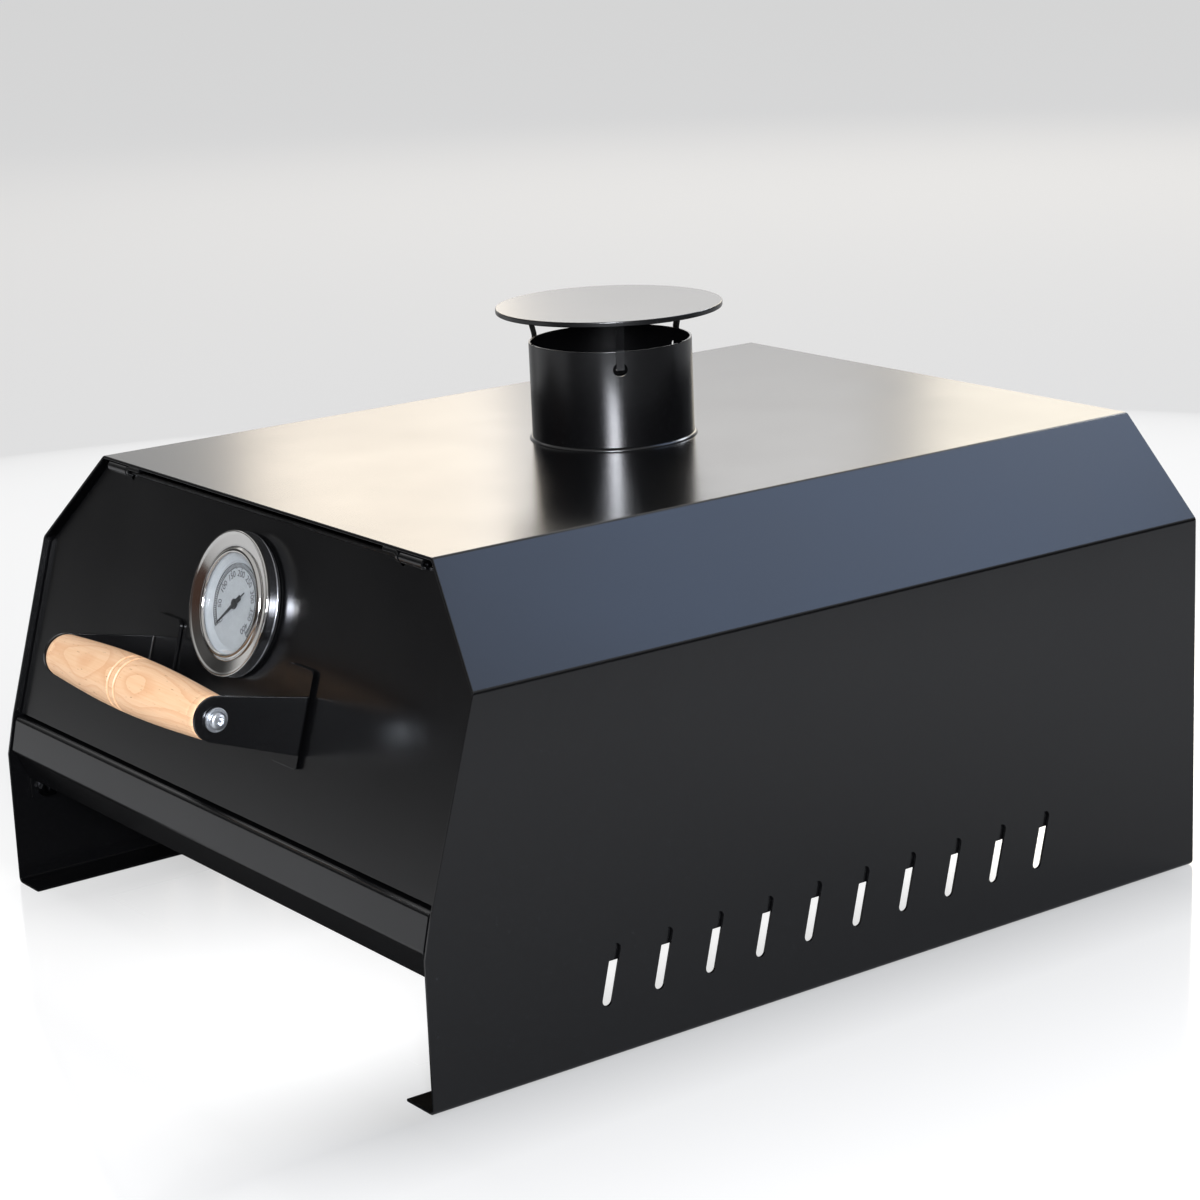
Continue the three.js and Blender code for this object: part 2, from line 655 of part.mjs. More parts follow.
// Grip: a turned barrel with two ring grooves at its middle and a bore in each end
const gripHalf = armOuter - plateSheet - fitGap;
const gripSteps = 12;
const gripProfile = [[0, -gripHalf], [gripEndRadius - gripEndRound, -gripHalf]];
for (let i = -gripSteps; i <= gripSteps; i += 1) {
  const place = (gripHalf - gripEndRound) * i / gripSteps;
  const swell = Math.cos(Math.PI * i / gripSteps / 2);
  if (i !== 0) gripProfile.push([gripEndRadius + (gripMiddleRadius - gripEndRadius) * swell, place]);
  if (i === 0) {
    for (const centre of [-gripGrooveSpacing / 2, gripGrooveSpacing / 2]) {
      gripProfile.push([gripMiddleRadius, centre - gripGrooveWidth / 2]);
      gripProfile.push([gripMiddleRadius - gripGrooveDepth, centre]);
      gripProfile.push([gripMiddleRadius, centre + gripGrooveWidth / 2]);
    }
  }
}
gripProfile.push([gripEndRadius - gripEndRound, gripHalf], [0, gripHalf]);
const gripBores = [-1, 1].map((side) => drillAlongX(gripBoreRadius,
  Math.min(side * (gripHalf - gripBoreDepth), side * (gripHalf + overrun)),
  Math.max(side * (gripHalf - gripBoreDepth), side * (gripHalf + overrun)), 0, 0, 12)
  .rotate([0, 0, 90]));
const grip = addPart(door, 'handle_grip', cutAll(turned(gripProfile, 24), gripBores), beech);
grip.position.set(0, armEndDepth, handleRise);
grip.rotation.z = Math.PI / 2;

// Bolts and washers at the arms' outer faces
const washerBody = turnedRing([[washerBore, 0], [washerRadius, 0], [washerRadius, washerThickness],
  [washerBore, washerThickness]], 20);
const boltBody = turned([[0, -boltLength], [boltRadius - endChamfer, -boltLength],
  [boltRadius, endChamfer - boltLength], [boltRadius, 0], [boltHeadRadius, 0],
  [boltHeadRadius, boltHeadHeight / 2],
  [boltHeadRadius * boltShoulderShare, boltHeadHeight * boltCrownShare],
  [boltHeadRadius / 2, boltHeadHeight], [0, boltHeadHeight]], 16);
for (const [sideName, side] of [['left', -1], ['right', 1]]) {
  const washer = addPart(door, `handle_washer_${sideName}`, washerBody, zinc);
  washer.position.set(side * (armOuter + fitGap), armEndDepth, handleRise);
  washer.rotation.z = -side * Math.PI / 2;
  const bolt = addPart(door, `handle_bolt_${sideName}`, boltBody, zinc);
  bolt.position.set(side * (armOuter + 2 * fitGap + washerThickness), armEndDepth, handleRise);
  bolt.rotation.z = -side * Math.PI / 2;
}

// Thermometer: its own group on the door's face, with its axis pointing out of the oven
const gauge = new THREE.Group();
gauge.position.set(0, doorRecess, gaugeRise);
gauge.rotation.x = Math.PI;
door.add(gauge);
const gaugeSegments = 40;
const pocketFloor = gaugeSeat + gaugeFloor;
const boreRadius = spindleRadius + fitGap;
const grooveHeight = (gaugeSeat + gaugePocketTop) / 2 + gaugeGroove;
const caseProfile = [[boreRadius, gaugeSeat], [gaugeBackRadius, gaugeSeat],
  [gaugeBodyRadius, gaugeSeat + gaugeFloor], [gaugeBodyRadius, grooveHeight - gaugeGroove],
  [gaugeBodyRadius - gaugeGroove, grooveHeight], [gaugeBodyRadius, grooveHeight + gaugeGroove],
  [gaugeRadius, grooveHeight + 2 * gaugeGroove], [gaugeRadius, gaugeHeight - 2 * gaugeGroove],
  [gaugeRadius - gaugeGroove, gaugeHeight - gaugeGroove / 2], [gaugeRadius - 2 * gaugeGroove, gaugeHeight],
  [gaugePocketRadius + gaugeGroove, gaugeHeight - gaugeLipDrop],
  [gaugePocketRadius - gaugeGroove, gaugeHeight - gaugeLipDrop + gaugeGroove / 2],
  [gaugeWindowRadius, gaugeHeight - gaugeLipDrop - gaugeGroove / 2],
  [gaugeWindowRadius, gaugePocketTop], [gaugePocketRadius, gaugePocketTop],
  [gaugePocketRadius, pocketFloor], [boreRadius, pocketFloor]];
addPart(gauge, 'thermometer_case', turnedRing(caseProfile, gaugeSegments), chrome);
const gasketProfile = [[gasketInner, fitGap], [gasketRadius, fitGap],
  [gasketRadius, fitGap + gasketThickness], [gasketInner, fitGap + gasketThickness]];
addPart(gauge, 'thermometer_gasket', turnedRing(gasketProfile, gaugeSegments), siliconeRubber);
const dialLow = pocketFloor + fitGap;
const dialHigh = dialLow + dialThickness;
const discRadius = gaugePocketRadius - fitGap;
const dialProfile = [[boreRadius, dialLow], [discRadius, dialLow], [discRadius, dialHigh],
  [boreRadius, dialHigh]];
addPart(gauge, 'thermometer_dial', turnedRing(dialProfile, gaugeSegments), dialPaint);
const lensTop = gaugePocketTop - fitGap;
const lensProfile = [[0, lensTop - lensThickness], [discRadius, lensTop - lensThickness],
  [discRadius, lensTop], [0, lensTop]];
addPart(gauge, 'thermometer_lens', turned(lensProfile, gaugeSegments), glass);

// Pointer and spindle: the blade has a round hub and a short broad tail
const blade = shapeOf([[-pointerHalfWidth, 0], [pointerHalfWidth, 0],
  [pointerHalfWidth / 4, pointerLength], [-pointerHalfWidth / 4, pointerLength]]);
const tail = shapeOf([[-pointerHalfWidth, 0], [-pointerTailHalfWidth, -pointerTail],
  [pointerTailHalfWidth, -pointerTail], [pointerHalfWidth, 0]]);
const hub = new THREE.Shape();
hub.absarc(0, 0, pointerHubRadius, 0, 2 * Math.PI);
const hubBore = new THREE.Shape();
hubBore.absarc(0, 0, boreRadius, 0, 2 * Math.PI);
const flatten = (shape) => alongZ(shape, 0, pointerThickness, 8);
const pointerBody = joinAll([blade, tail, hub].map(flatten))
  .subtract(alongZ(hubBore, -overrun, pointerThickness + overrun, 8));
const needle = new THREE.Group();
needle.rotation.x = -Math.PI / 2;
needle.position.y = dialHigh + pointerRise;
gauge.add(needle);
const pointer = addPart(needle, 'thermometer_pointer', pointerBody, needlePaint);
pointer.rotation.z = Math.PI - pointerAngle;
const spindleTop = dialHigh + pointerRise + pointerThickness;
const spindleProfile = [[0, -stemThreadLength], [spindleRadius, -stemThreadLength],
  [spindleRadius, spindleTop], [0, spindleTop]];
addPart(gauge, 'thermometer_spindle', turned(spindleProfile, 12), zinc);

// Stem: a threaded boss through the door, the probe behind it, and the nut that clamps it
const stemProfile = [[boreRadius, gaugeSeat - fitGap], [stemThreadRadius, gaugeSeat - fitGap],
  [stemThreadRadius, -stemThreadLength], [stemRadius, -stemThreadLength - stemWall],
  [stemRadius, stemWall - stemLength], [stemRadius - stemWall, -stemLength], [0, -stemLength],
  [0, -stemThreadLength - stemWall], [boreRadius, -stemThreadLength - stemWall]];
addPart(gauge, 'thermometer_stem', turned([...stemProfile, stemProfile[0]], 20), zinc);
const lockNutBore = turned([[0, -overrun], [stemThreadRadius + fitGap, -overrun],
  [stemThreadRadius + fitGap, lockNutThickness + overrun], [0, lockNutThickness + overrun]], 24);
const lockNutHex = solidOf(extrude(hexagon(lockNutAcrossFlats), lockNutThickness).rotateX(-Math.PI / 2));
const lockNut = addPart(gauge, 'thermometer_nut', lockNutHex.subtract(lockNutBore), zinc);
lockNut.position.y = -sheet - fitGap - lockNutThickness;

// Flue: heights in this group are measured from the roof
const flue = new THREE.Group();
flue.position.set(0, flueDepth, hoodHeight);
oven.add(flue);
const flueSegments = 40;
const hookHole = slotShape(0, hookHoleRise, hookHoleWidth, hookHoleHeight, Math.PI / 2);
const hookHoleCutter = alongX(hookHole, tubeRadius - tubeWall - overrun, tubeRadius + overrun, 6);
const strapAngles = [90, 210, 330];
const tubeProfile = [[tubeRadius - tubeWall, -tubeDrop], [tubeRadius, -tubeDrop],
  [tubeRadius, tubeRise], [tubeRadius - tubeWall, tubeRise]];
const upright = (body) => body.rotate([90, 0, 0]);
const tubeBody = cutAll(upright(turnedRing(tubeProfile, flueSegments)),
  strapAngles.map((angle) => hookHoleCutter.rotate([0, 0, angle])));
addPart(flue, 'flue_tube', tubeBody, blackCoat);
const beadInner = tubeRadius + fitGap;
const beadProfile = [[beadInner, 0], [beadInner + beadWidth, 0],
  [beadInner + beadWidth / 2, beadHeight], [beadInner, beadHeight]];
addPart(flue, 'flue_bead', upright(turnedRing(beadProfile, flueSegments)), blackCoat);
const flangeTop = -sheet;
const flangeBottom = flangeTop - plateSheet;
const flangeEdge = beadInner + flueFlangeWidth;
const flangeProfile = [[beadInner, flangeBottom], [flangeEdge, flangeBottom], [flangeEdge, flangeTop],
  [beadInner, flangeTop]];
addPart(flue, 'flue_flange', upright(turnedRing(flangeProfile, flueSegments)), blackCoat);

// Rain cap: a disc with a small rim turned down, on three straps that hook into the tube
const capUnderside = capRise - sheet;
const capProfile = [[0, capUnderside], [capRadius - sheet, capUnderside],
  [capRadius - sheet, capRise - capRim], [capRadius, capRise - capRim],
  [capRadius, capRise - sheet / 2], [capRadius - sheet / 2, capRise], [0, capRise]];
addPart(flue, 'rain_cap', upright(turned(capProfile, flueSegments)), blackCoat);
const strapOuter = tubeRadius + strapGap + strapSheet;
const strapPath = [[strapStart, capUnderside], [strapOuter, capUnderside],
  [strapOuter, strapHookRise], [strapOuter - strapHookLength, strapHookRise]];
const strapSection = foldedSheet(strapPath, strapSheet, strapSheet / 2);
const strapBody = alongY(strapSection, -strapWidth / 2, strapWidth / 2);
strapAngles.forEach((angle, i) => {
  const strap = addPart(flue, `cap_strap_${i + 1}`, strapBody, blackCoat);
  strap.rotation.z = THREE.MathUtils.degToRad(angle);
});

export default oven;
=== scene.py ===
"""Table-top pizza oven: the looks of every piece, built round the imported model.

Metres, +Z up. X runs across the oven, Y runs from the door to the rear.
"""
import json
import math
from functools import partial, reduce

import bmesh
import bpy
from bpy.props import FloatProperty, IntProperty, PointerProperty, StringProperty
from mathutils import Matrix, Vector


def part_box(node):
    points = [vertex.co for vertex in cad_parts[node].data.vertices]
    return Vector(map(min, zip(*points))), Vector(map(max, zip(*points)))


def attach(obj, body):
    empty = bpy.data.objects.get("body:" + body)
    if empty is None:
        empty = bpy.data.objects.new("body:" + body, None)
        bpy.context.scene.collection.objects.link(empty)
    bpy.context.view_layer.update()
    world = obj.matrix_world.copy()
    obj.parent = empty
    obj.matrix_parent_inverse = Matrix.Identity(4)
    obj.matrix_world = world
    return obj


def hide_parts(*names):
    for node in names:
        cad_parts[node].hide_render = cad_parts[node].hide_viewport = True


bl_info = {
    "name": "Table-top pizza oven",
    "version": (1, 0, 0),
    "blender": (4, 5, 0),
    "location": "3D View > Sidebar > Pizza oven",
    "description": "Builds the finished pieces, materials and studio of a table-top pizza oven",
    "category": "Object",
}

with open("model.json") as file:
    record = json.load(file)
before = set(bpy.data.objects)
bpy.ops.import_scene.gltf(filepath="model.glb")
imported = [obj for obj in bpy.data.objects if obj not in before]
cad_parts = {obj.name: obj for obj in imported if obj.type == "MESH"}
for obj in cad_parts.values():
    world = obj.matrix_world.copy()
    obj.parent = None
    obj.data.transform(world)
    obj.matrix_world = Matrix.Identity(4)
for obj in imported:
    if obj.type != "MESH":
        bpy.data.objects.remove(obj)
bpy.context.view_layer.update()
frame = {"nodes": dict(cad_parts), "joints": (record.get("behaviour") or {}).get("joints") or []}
NODES = frame["nodes"]
MM = 0.001

# The thermometer's place: on the door's face, Z out of the door
DIAL_JOINT = next(joint for joint in frame["joints"] if joint["name"] == "pointer_turn")
GAUGE_OUT = -Vector(DIAL_JOINT["axis"]).normalized()
GAUGE_RIGHT = Vector((1, 0, 0))
GAUGE_PLACE = Matrix.Translation(Vector(DIAL_JOINT["pos_m"])) @ Matrix(
    (GAUGE_RIGHT, GAUGE_OUT.cross(GAUGE_RIGHT), GAUGE_OUT)).transposed().to_4x4()


def middle(node_name):
    low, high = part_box(node_name)
    return (low + high) / 2


# ---------------- materials


def colour(hex_colour):
    """An sRGB hex colour as the linear colour that shaders take."""
    values = [int(hex_colour[i:i + 2], 16) / 255 for i in (1, 3, 5)]
    return (*(v / 12.92 if v <= 0.04045 else ((v + 0.055) / 1.055) ** 2.4 for v in values), 1)


def per_mm(size):
    """The texture scale whose features are about this many millimetres across."""
    return 1 / (size * MM)


def add_node(tree, kind, *values, inputs=None, **settings):
    """Adds a node with its settings, and fills its inputs: the ones in use in their order, others
    by name. An input takes a value, an output, a node, whose first output in use is linked, or a
    list of nodes. A kind without a prefix is a shader node, and a colon gives its operation, or
    what it mixes."""
    kind, _, operation = kind.partition(":")
    made = tree.nodes.new(kind if "Node" in kind else "ShaderNode" + kind)
    if operation:
        settings["data_type" if kind == "Mix" else "operation"] = operation
    for name, value in settings.items():
        setattr(made, name, value)
    filled = list(zip([socket for socket in made.inputs if socket.enabled], values))
    filled += [(made.inputs[name], value) for name, value in (inputs or {}).items()]
    for socket, value in filled:
        for source in value if isinstance(value, list) else [value]:
            if isinstance(source, bpy.types.Node):
                source = next(output for output in source.outputs if output.enabled)
            if isinstance(source, bpy.types.NodeSocket):
                tree.links.new(source, socket)
            else:
                socket.default_value = source
    return made


def new_material(name):
    """A named material, the function that adds its nodes, and its Object coordinates."""
    material = bpy.data.materials.new(name)
    material.use_nodes = True
    material.node_tree.nodes.clear()
    add = partial(add_node, material.node_tree)
    return material, add, add("TexCoord").outputs["Object"]


def powder_coat():
    """Polyester powder coat, satin black, sprayed and baked on steel sheet.

    The baked powder gives a faint orange-peel skin, a soft gloss and fine paler specks. The real
    specks are too fine to show, and are drawn about a millimetre across.
    """
    material, add, place = new_material("satin_black_powder_coat")
    grit = add("TexNoise", place, per_mm(0.9), 1.0)
    peel = add("TexNoise", place, per_mm(3.0), 1.0)
    handling = add("TexNoise", place, per_mm(70), 3.0)
    speck = add("MapRange", grit, 0.66, 0.80)
    skin = add("Bump", inputs={"Strength": 0.15, "Distance": 0.012 * MM, "Height": peel})
    skin = add("Bump", inputs={
        "Strength": 0.12, "Distance": 0.01 * MM, "Height": grit, "Normal": skin})
    add("OutputMaterial", add("BsdfPrincipled", inputs={
        "Base Color": add("Mix:RGBA", speck, colour("#060607"), colour("#1b1c1e")),
        "Roughness": add("MapRange", handling, 0.3, 0.7, 0.205, 0.235),
        "IOR": 1.5, "Normal": skin}))
    return material


def turned_beech():
    """Beech, turned and sanded, unfinished: pale pinkish brown, with growth rings that the barrel
    shape cuts into long ovals, and short dark flecks along the grain. The real fibres and flecks
    are finer than can show, and are drawn just under a millimetre across."""
    material, add, place = new_material("turned_beech")
    centre = middle("handle_grip")
    pith = Vector((0.0, centre.y + 31 * MM, centre.z - 22 * MM))
    moved = add("VectorMath:SUBTRACT", place, pith)
    drift = add("VectorMath:SUBTRACT", add("TexNoise", moved, per_mm(45), 1.0).outputs["Color"],
                (0.5, 0.5, 0.5))
    bent = add("VectorMath:MULTIPLY_ADD", drift, (0.0, 14 * MM, 14 * MM), moved)
    rings = add("TexWave", bent, per_mm(1.0) / math.tau, 0.8, 2.0, 1.0, wave_type="RINGS",
                rings_direction="X", wave_profile="SAW")
    stretched = add("Mapping", place, inputs={"Scale": (0.03, 1.0, 1.0)})
    dashes = add("Mapping", place, inputs={"Scale": (0.22, 1.0, 1.0)})
    patches = add("TexNoise", stretched, per_mm(12), 2.0)
    fibre = add("TexNoise", stretched, per_mm(0.9), 3.0)
    flecks = add("TexNoise", dashes, per_mm(0.8), 1.0)
    off_middle = add("Math:ABSOLUTE", add("SeparateXYZ", place))
    off_groove = add("Math:ABSOLUTE", add("Math:SUBTRACT", off_middle, 2.6 * MM))
    wood = colour("#efc297")
    for pattern, low, high, most, tone in (
            (rings.outputs["Fac"], 0.6, 1.0, 0.75, "#dca071"),  # Late wood
            (patches, 0.35, 0.7, 0.5, "#f2cca7"),
            (fibre, 0.4, 0.75, 0.3, "#d79c6a"),
            (flecks, 0.70, 0.78, 0.6, "#9a6238"),
            # The two grooves are painted darker brown: part scorch from the turning tool, part
            # painted shade in the grooves
            (off_groove, 1.1 * MM, 0.1 * MM, 0.85, "#96602f")):
        wood = add("Mix:RGBA", add("MapRange", pattern, low, high, 0.0, most), wood, colour(tone))
    add("OutputMaterial", add("BsdfPrincipled", inputs={
        "Base Color": wood, "IOR": 1.5,
        "Roughness": add("MapRange", fibre, 0.3, 0.7, 0.42, 0.58),
        "Normal": add("Bump", inputs={
            "Strength": 0.25, "Distance": 0.05 * MM, "Height": fibre})}))
    return material


def plated(name, tone, second_tone, smooth, rough, mark_strength):
    """Zinc plate on steel: its polish varies in small patches, and fine marks break its
    reflections up. The real marks are too fine to show, and are drawn half a millimetre wide."""
    material, add, place = new_material(name)
    patches = add("TexNoise", place, per_mm(4), 4.0)
    marks = add("TexNoise", place, per_mm(0.5), 2.0)
    add("OutputMaterial", add("BsdfPrincipled", inputs={
        "Base Color": add("Mix:RGBA", add("MapRange", patches, 0.3, 0.7), colour(tone),
                          colour(second_tone)),
        "Metallic": 1.0,
        "Roughness": add("MapRange", patches, 0.3, 0.7, smooth, rough),
        "Normal": add("Bump", inputs={
            "Strength": mark_strength, "Distance": 0.02 * MM, "Height": marks})}))
    return material


def case_steel():
    """Stainless steel, spun: the rim's face is polished and gives sharp reflections, and its wall
    is left as turned, with a broad dull sheen. The wall's tone is painted darker than the face's:
    painted shade that dims the lamps' reflections in the wall."""
    material, add, place = new_material("spun_stainless_steel")
    off_door = add("VectorMath:DOT_PRODUCT", place, GAUGE_OUT)
    seat = GAUGE_PLACE.translation.dot(GAUGE_OUT)
    face = add("MapRange", off_door, seat + 5.6 * MM, seat + 6.2 * MM)
    worn = add("MapRange", add("TexNoise", place, per_mm(4), 4.0), 0.3, 0.7, 0.0, 0.04)
    add("OutputMaterial", add("BsdfPrincipled", inputs={
        # The wall's tone is darker than the face's: painted shade that dims the lamps' reflections
        # in the wall
        "Base Color": add("Mix:RGBA", face, colour("#8d8e92"), colour("#cfcdca")),
        "Metallic": 1.0,
        "Roughness": add("Math:ADD", add("MapRange", face, 0.0, 1.0, 0.22, 0.10), worn)}))
    return material


def cordierite():
    """Pressed and fired cordierite: pale sand colour, dead matt, with grit, pin holes and a few
    brown scorch marks from the flame. The real grit is too fine to show, and is drawn coarser."""
    material, add, place = new_material("fired_cordierite")
    grit = add("TexNoise", place, per_mm(1.6), 4.0)
    clouds = add("TexNoise", place, per_mm(60), 3.0)
    pin_hole = add("MapRange", add("TexVoronoi", place, per_mm(4.5)), 0.09, 0.03)
    tone = colour("#c3ae8c")
    # The pin holes are painted darker: painted shade in them
    for share, second_tone in ((add("MapRange", grit, 0.35, 0.65), "#dccbad"),
                               (add("MapRange", clouds, 0.5, 0.75, 0.0, 0.35), "#a98c66"),
                               (pin_hole, "#6f5d45")):
        tone = add("Mix:RGBA", share, tone, colour(second_tone))
    add("OutputMaterial", add("BsdfPrincipled", inputs={
        "Base Color": tone, "Roughness": 0.92, "IOR": 1.5,
        "Normal": add("Bump", inputs={
            "Strength": 0.6, "Distance": 0.15 * MM,
            "Height": add("Math:SUBTRACT", grit, pin_hole)})}))
    return material


def mottled(name, tone, second_tone, rough, grain=2.5, low=0.35, high=0.65, ior=1.5):
    """An even coat or moulding whose tone drifts a little, in patches a few grains across."""
    material, add, place = new_material(name)
    share = add("MapRange", add("TexNoise", place, per_mm(grain), 3.0), low, high)
    add("OutputMaterial", add("BsdfPrincipled", inputs={
        "Base Color": add("Mix:RGBA", share, colour(tone), colour(second_tone)),
        "Roughness": rough, "IOR": ior}))
    return material


def window_glass():
    """Soda-lime window glass, clear, with a faint smear that dulls the gloss in places."""
    material, add, place = new_material("soda_lime_glass")
    smear = add("TexNoise", place, per_mm(9), 2.0)
    glass = add("BsdfPrincipled", inputs={
        "Base Color": colour("#fafafa"), "Transmission Weight": 1.0, "IOR": 1.52,
        "Roughness": add("MapRange", smear, 0.45, 0.8, 0.0, 0.03)})
    clear = add("BsdfTransparent", colour("#fafafa"))
    path = add("LightPath").outputs
    lit = add("Math:MAXIMUM", path["Is Shadow Ray"], path["Is Diffuse Ray"])
    add("OutputMaterial", add("MixShader", lit, glass, clear))
    return material


# Every finish by its name in the code below: its material and its slot
FINISHES = {
    "coat": (powder_coat(), "black_coat"),
    "beech": (turned_beech(), "beech"),
    "bezel": (case_steel(), "chrome"),
    # Bright zinc plate is pale and slightly blue, and black zinc plate is almost as dark as paint
    "zinc": (plated("bright_zinc_plate", "#c9ccd0", "#b4b8bd", 0.30, 0.40, 0.25), "zinc"),
    "dark_zinc": (plated("black_zinc_plate", "#101011", "#0b0b0c", 0.34, 0.5, 0.4), "dark_zinc"),
    "stone": (cordierite(), "stone"),
    # Sprayed enamel, screen ink and lacquer on sheet metal are even and satin
    "dial": (mottled("pale_grey_dial_enamel", "#b9bfc3", "#b2b8bc", 0.45), "dial_paint"),
    "ink": (mottled("black_screen_ink", "#0b0c0d", "#111213", 0.5), "needle_paint"),
    "needle": (mottled("black_pointer_lacquer", "#2b2d2f", "#232527", 0.4), "needle_paint"),
    "glass": (window_glass(), "lens_glass"),
    # Moulded silicone rubber is matt, and holds a fine dust
    "rubber": (mottled("black_silicone_rubber", "#0e0e0f", "#1d1d1e", 0.7, 1.2, 0.45, 0.8, 1.43),
               "silicone"),
}

# ---------------- shaping tools

FLAT = 0.99999  # Faces whose normals agree this closely lie flat against each other
WELD = 0.002 * MM
FACET_ANGLE = math.radians(0.8)
SHEET_SMOOTH = math.radians(40)
TURNED_SMOOTH = math.radians(32)


def link_piece(name, mesh):
    piece = bpy.data.objects.new(name, mesh)
    bpy.context.scene.collection.objects.link(piece)
    return piece


def baked(piece):
    """The piece with its modifiers worked into a plain mesh."""
    bpy.context.view_layer.update()
    shaped = piece.evaluated_get(bpy.context.evaluated_depsgraph_get())
    mesh = bpy.data.meshes.new_from_object(shaped)
    piece.modifiers.clear()
    piece.data = mesh
    return piece


def flat_regions(shape):
    """Groups the faces that lie flat against each other: each face's group, and their areas."""
    group_of, areas = {}, []
    for first in shape.faces:
        if first in group_of:
            continue
        group_of[first] = len(areas)
        area, waiting = 0.0, [first]
        while waiting:
            face = waiting.pop()
            area += face.calc_area()
            for other in (other for edge in face.edges for other in edge.link_faces):
                if other not in group_of and other.normal.dot(first.normal) > FLAT:
                    group_of[other] = len(areas)
                    waiting.append(other)
        areas.append(area)
    return group_of, areas


def keep_flats_flat(mesh, smooth_angle):
    """Smooth shading in which a broad flat face stays flat up to its edges, and the bends and
    rounded edges beside it turn away from it evenly."""
    mesh.shade_smooth()
    shape = bmesh.new()
    shape.from_mesh(mesh)
    shape.normal_update()
    group_of, areas = flat_regions(shape)
    normals = []
    for face in shape.faces:
        for corner in face.loops:
            near = {group_of[other]: other.normal for other in corner.vert.link_faces
                    if other.normal.dot(face.normal) > math.cos(smooth_angle)}
            broadest = max(areas[group] for group in near)
            total = sum((normal for group, normal in near.items()
                         if areas[group] > broadest / 2), Vector())
            normals.append(total.normalized())
    shape.free()
    mesh.normals_split_custom_set(normals)


def set_up(piece, body, finish, node_name=None):
    """Gives a finished piece its finish and its body, and hides the node that it stands for."""
    material, slot = FINISHES[finish]
    piece.data.materials.clear()
    piece.data.materials.append(material)
    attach(piece, body)
    if node_name:
        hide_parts(node_name)


def merged_copy(node_name, piece_name):
    """The node's shape as one joined mesh with whole faces, ready to be worked on."""
    shape = bmesh.new()
    shape.from_mesh(NODES[node_name].data)
    bmesh.ops.remove_doubles(shape, verts=shape.verts, dist=WELD)
    bmesh.ops.dissolve_limit(shape, angle_limit=FACET_ANGLE, verts=shape.verts, edges=shape.edges)
    points = [vertex.co.copy() for vertex in shape.verts]
    faces = [[vertex.index for vertex in face.verts] for face in shape.faces]
    shape.free()
    mesh = bpy.data.meshes.new(piece_name)
    mesh.from_pydata(points, [], faces)
    return link_piece(piece_name, mesh)


def round_edges(piece, width, segments=2):
    """Rounds a piece's edges, and leaves its flat faces flat."""
    bevel = piece.modifiers.new("edge_round", "BEVEL")
    bevel.width = width
    bevel.segments = segments
    bevel.limit_method = "ANGLE"
    bevel.angle_limit = math.radians(34)
    bevel.use_clamp_overlap = False
    bevel.loop_slide = False
    baked(piece)
    keep_flats_flat(piece.data, SHEET_SMOOTH)
    return piece


def rounded_pieces(names, ending, edge_round, body, finish):
    """Finished copies of nodes with rounded edges, as plate or a coat of powder leaves them."""
    for name in names:
        piece = round_edges(merged_copy(name, f"{name}_{ending}"), edge_round)
        set_up(piece, body, finish, name)


def eased(profile, radius, steps=2, closed=True):
    """A profile of (radius, height) points whose corners are rounded. An open profile keeps its
    first and last point."""
    points = [Vector(point) for point in profile]
    longest = 1 / 2.2  # Of the way to the next corner
    result = []
    for i, point in enumerate(points):
        if not closed and i in (0, len(points) - 1):
            result.append(tuple(point))
            continue
        before, after = points[i - 1] - point, points[(i + 1) % len(points)] - point
        reach = min(radius, before.length * longest, after.length * longest)
        start, end = point + before.normalized() * reach, point + after.normalized() * reach
        for step in range(steps + 1):
            t = step / steps
            result.append(tuple(start * (1 - t) ** 2 + point * 2 * t * (1 - t) + end * t ** 2))
    return result


def lofted_mesh(name, rings, place, closed=False):
    """Joins rings of points, in millimetres, one after another. A ring can be a single point. The
    last ring joins the first if it is closed, and otherwise both end rings are filled."""
    shape = bmesh.new()
    rings = [[shape.verts.new(Vector(point) * MM) for point in ring] for ring in rings]
    count = max(len(ring) for ring in rings)
    for low, high in zip(rings, rings[1:] + rings[:1] if closed else rings[1:]):
        for i in range(count):
            j = (i + 1) % count
            corners = dict.fromkeys((low[i % len(low)], low[j % len(low)],
                                     high[j % len(high)], high[i % len(high)]))
            if len(corners) > 2:
                shape.faces.new(list(corners))
    for ring in () if closed else (rings[0], rings[-1]):
        if len(ring) > 2:
            shape.faces.new(ring)
    bmesh.ops.recalc_face_normals(shape, faces=shape.faces)
    mesh = bpy.data.meshes.new(name)
    shape.to_mesh(mesh)
    shape.free()
    mesh.transform(place)
    return mesh


def polar(radius, turn):
    return radius * math.cos(turn), radius * math.sin(turn)


def circle(radius, height, segments):
    """Points round Z, or the one point of a circle without a radius."""
    return [(*polar(radius, math.tau * i / segments), height)
            for i in range(segments if radius else 1)]


def turned_mesh(name, profile, segments, place, closed=False):
    """Turns a profile of (radius, height) pairs about Z. A closed profile goes round a bore, and
    an open one starts and ends on the axis."""
    return lofted_mesh(name, [circle(*point, segments) for point in profile], place, closed)


def turned_piece(name, profile, segments, place):
    """A turned piece whose flat faces stay flat. It has a bore if its profile is off the axis."""
    mesh = turned_mesh(name, profile, segments, place, closed=profile[0][0] > 0)
    keep_flats_flat(mesh, TURNED_SMOOTH)
    return link_piece(name, mesh)


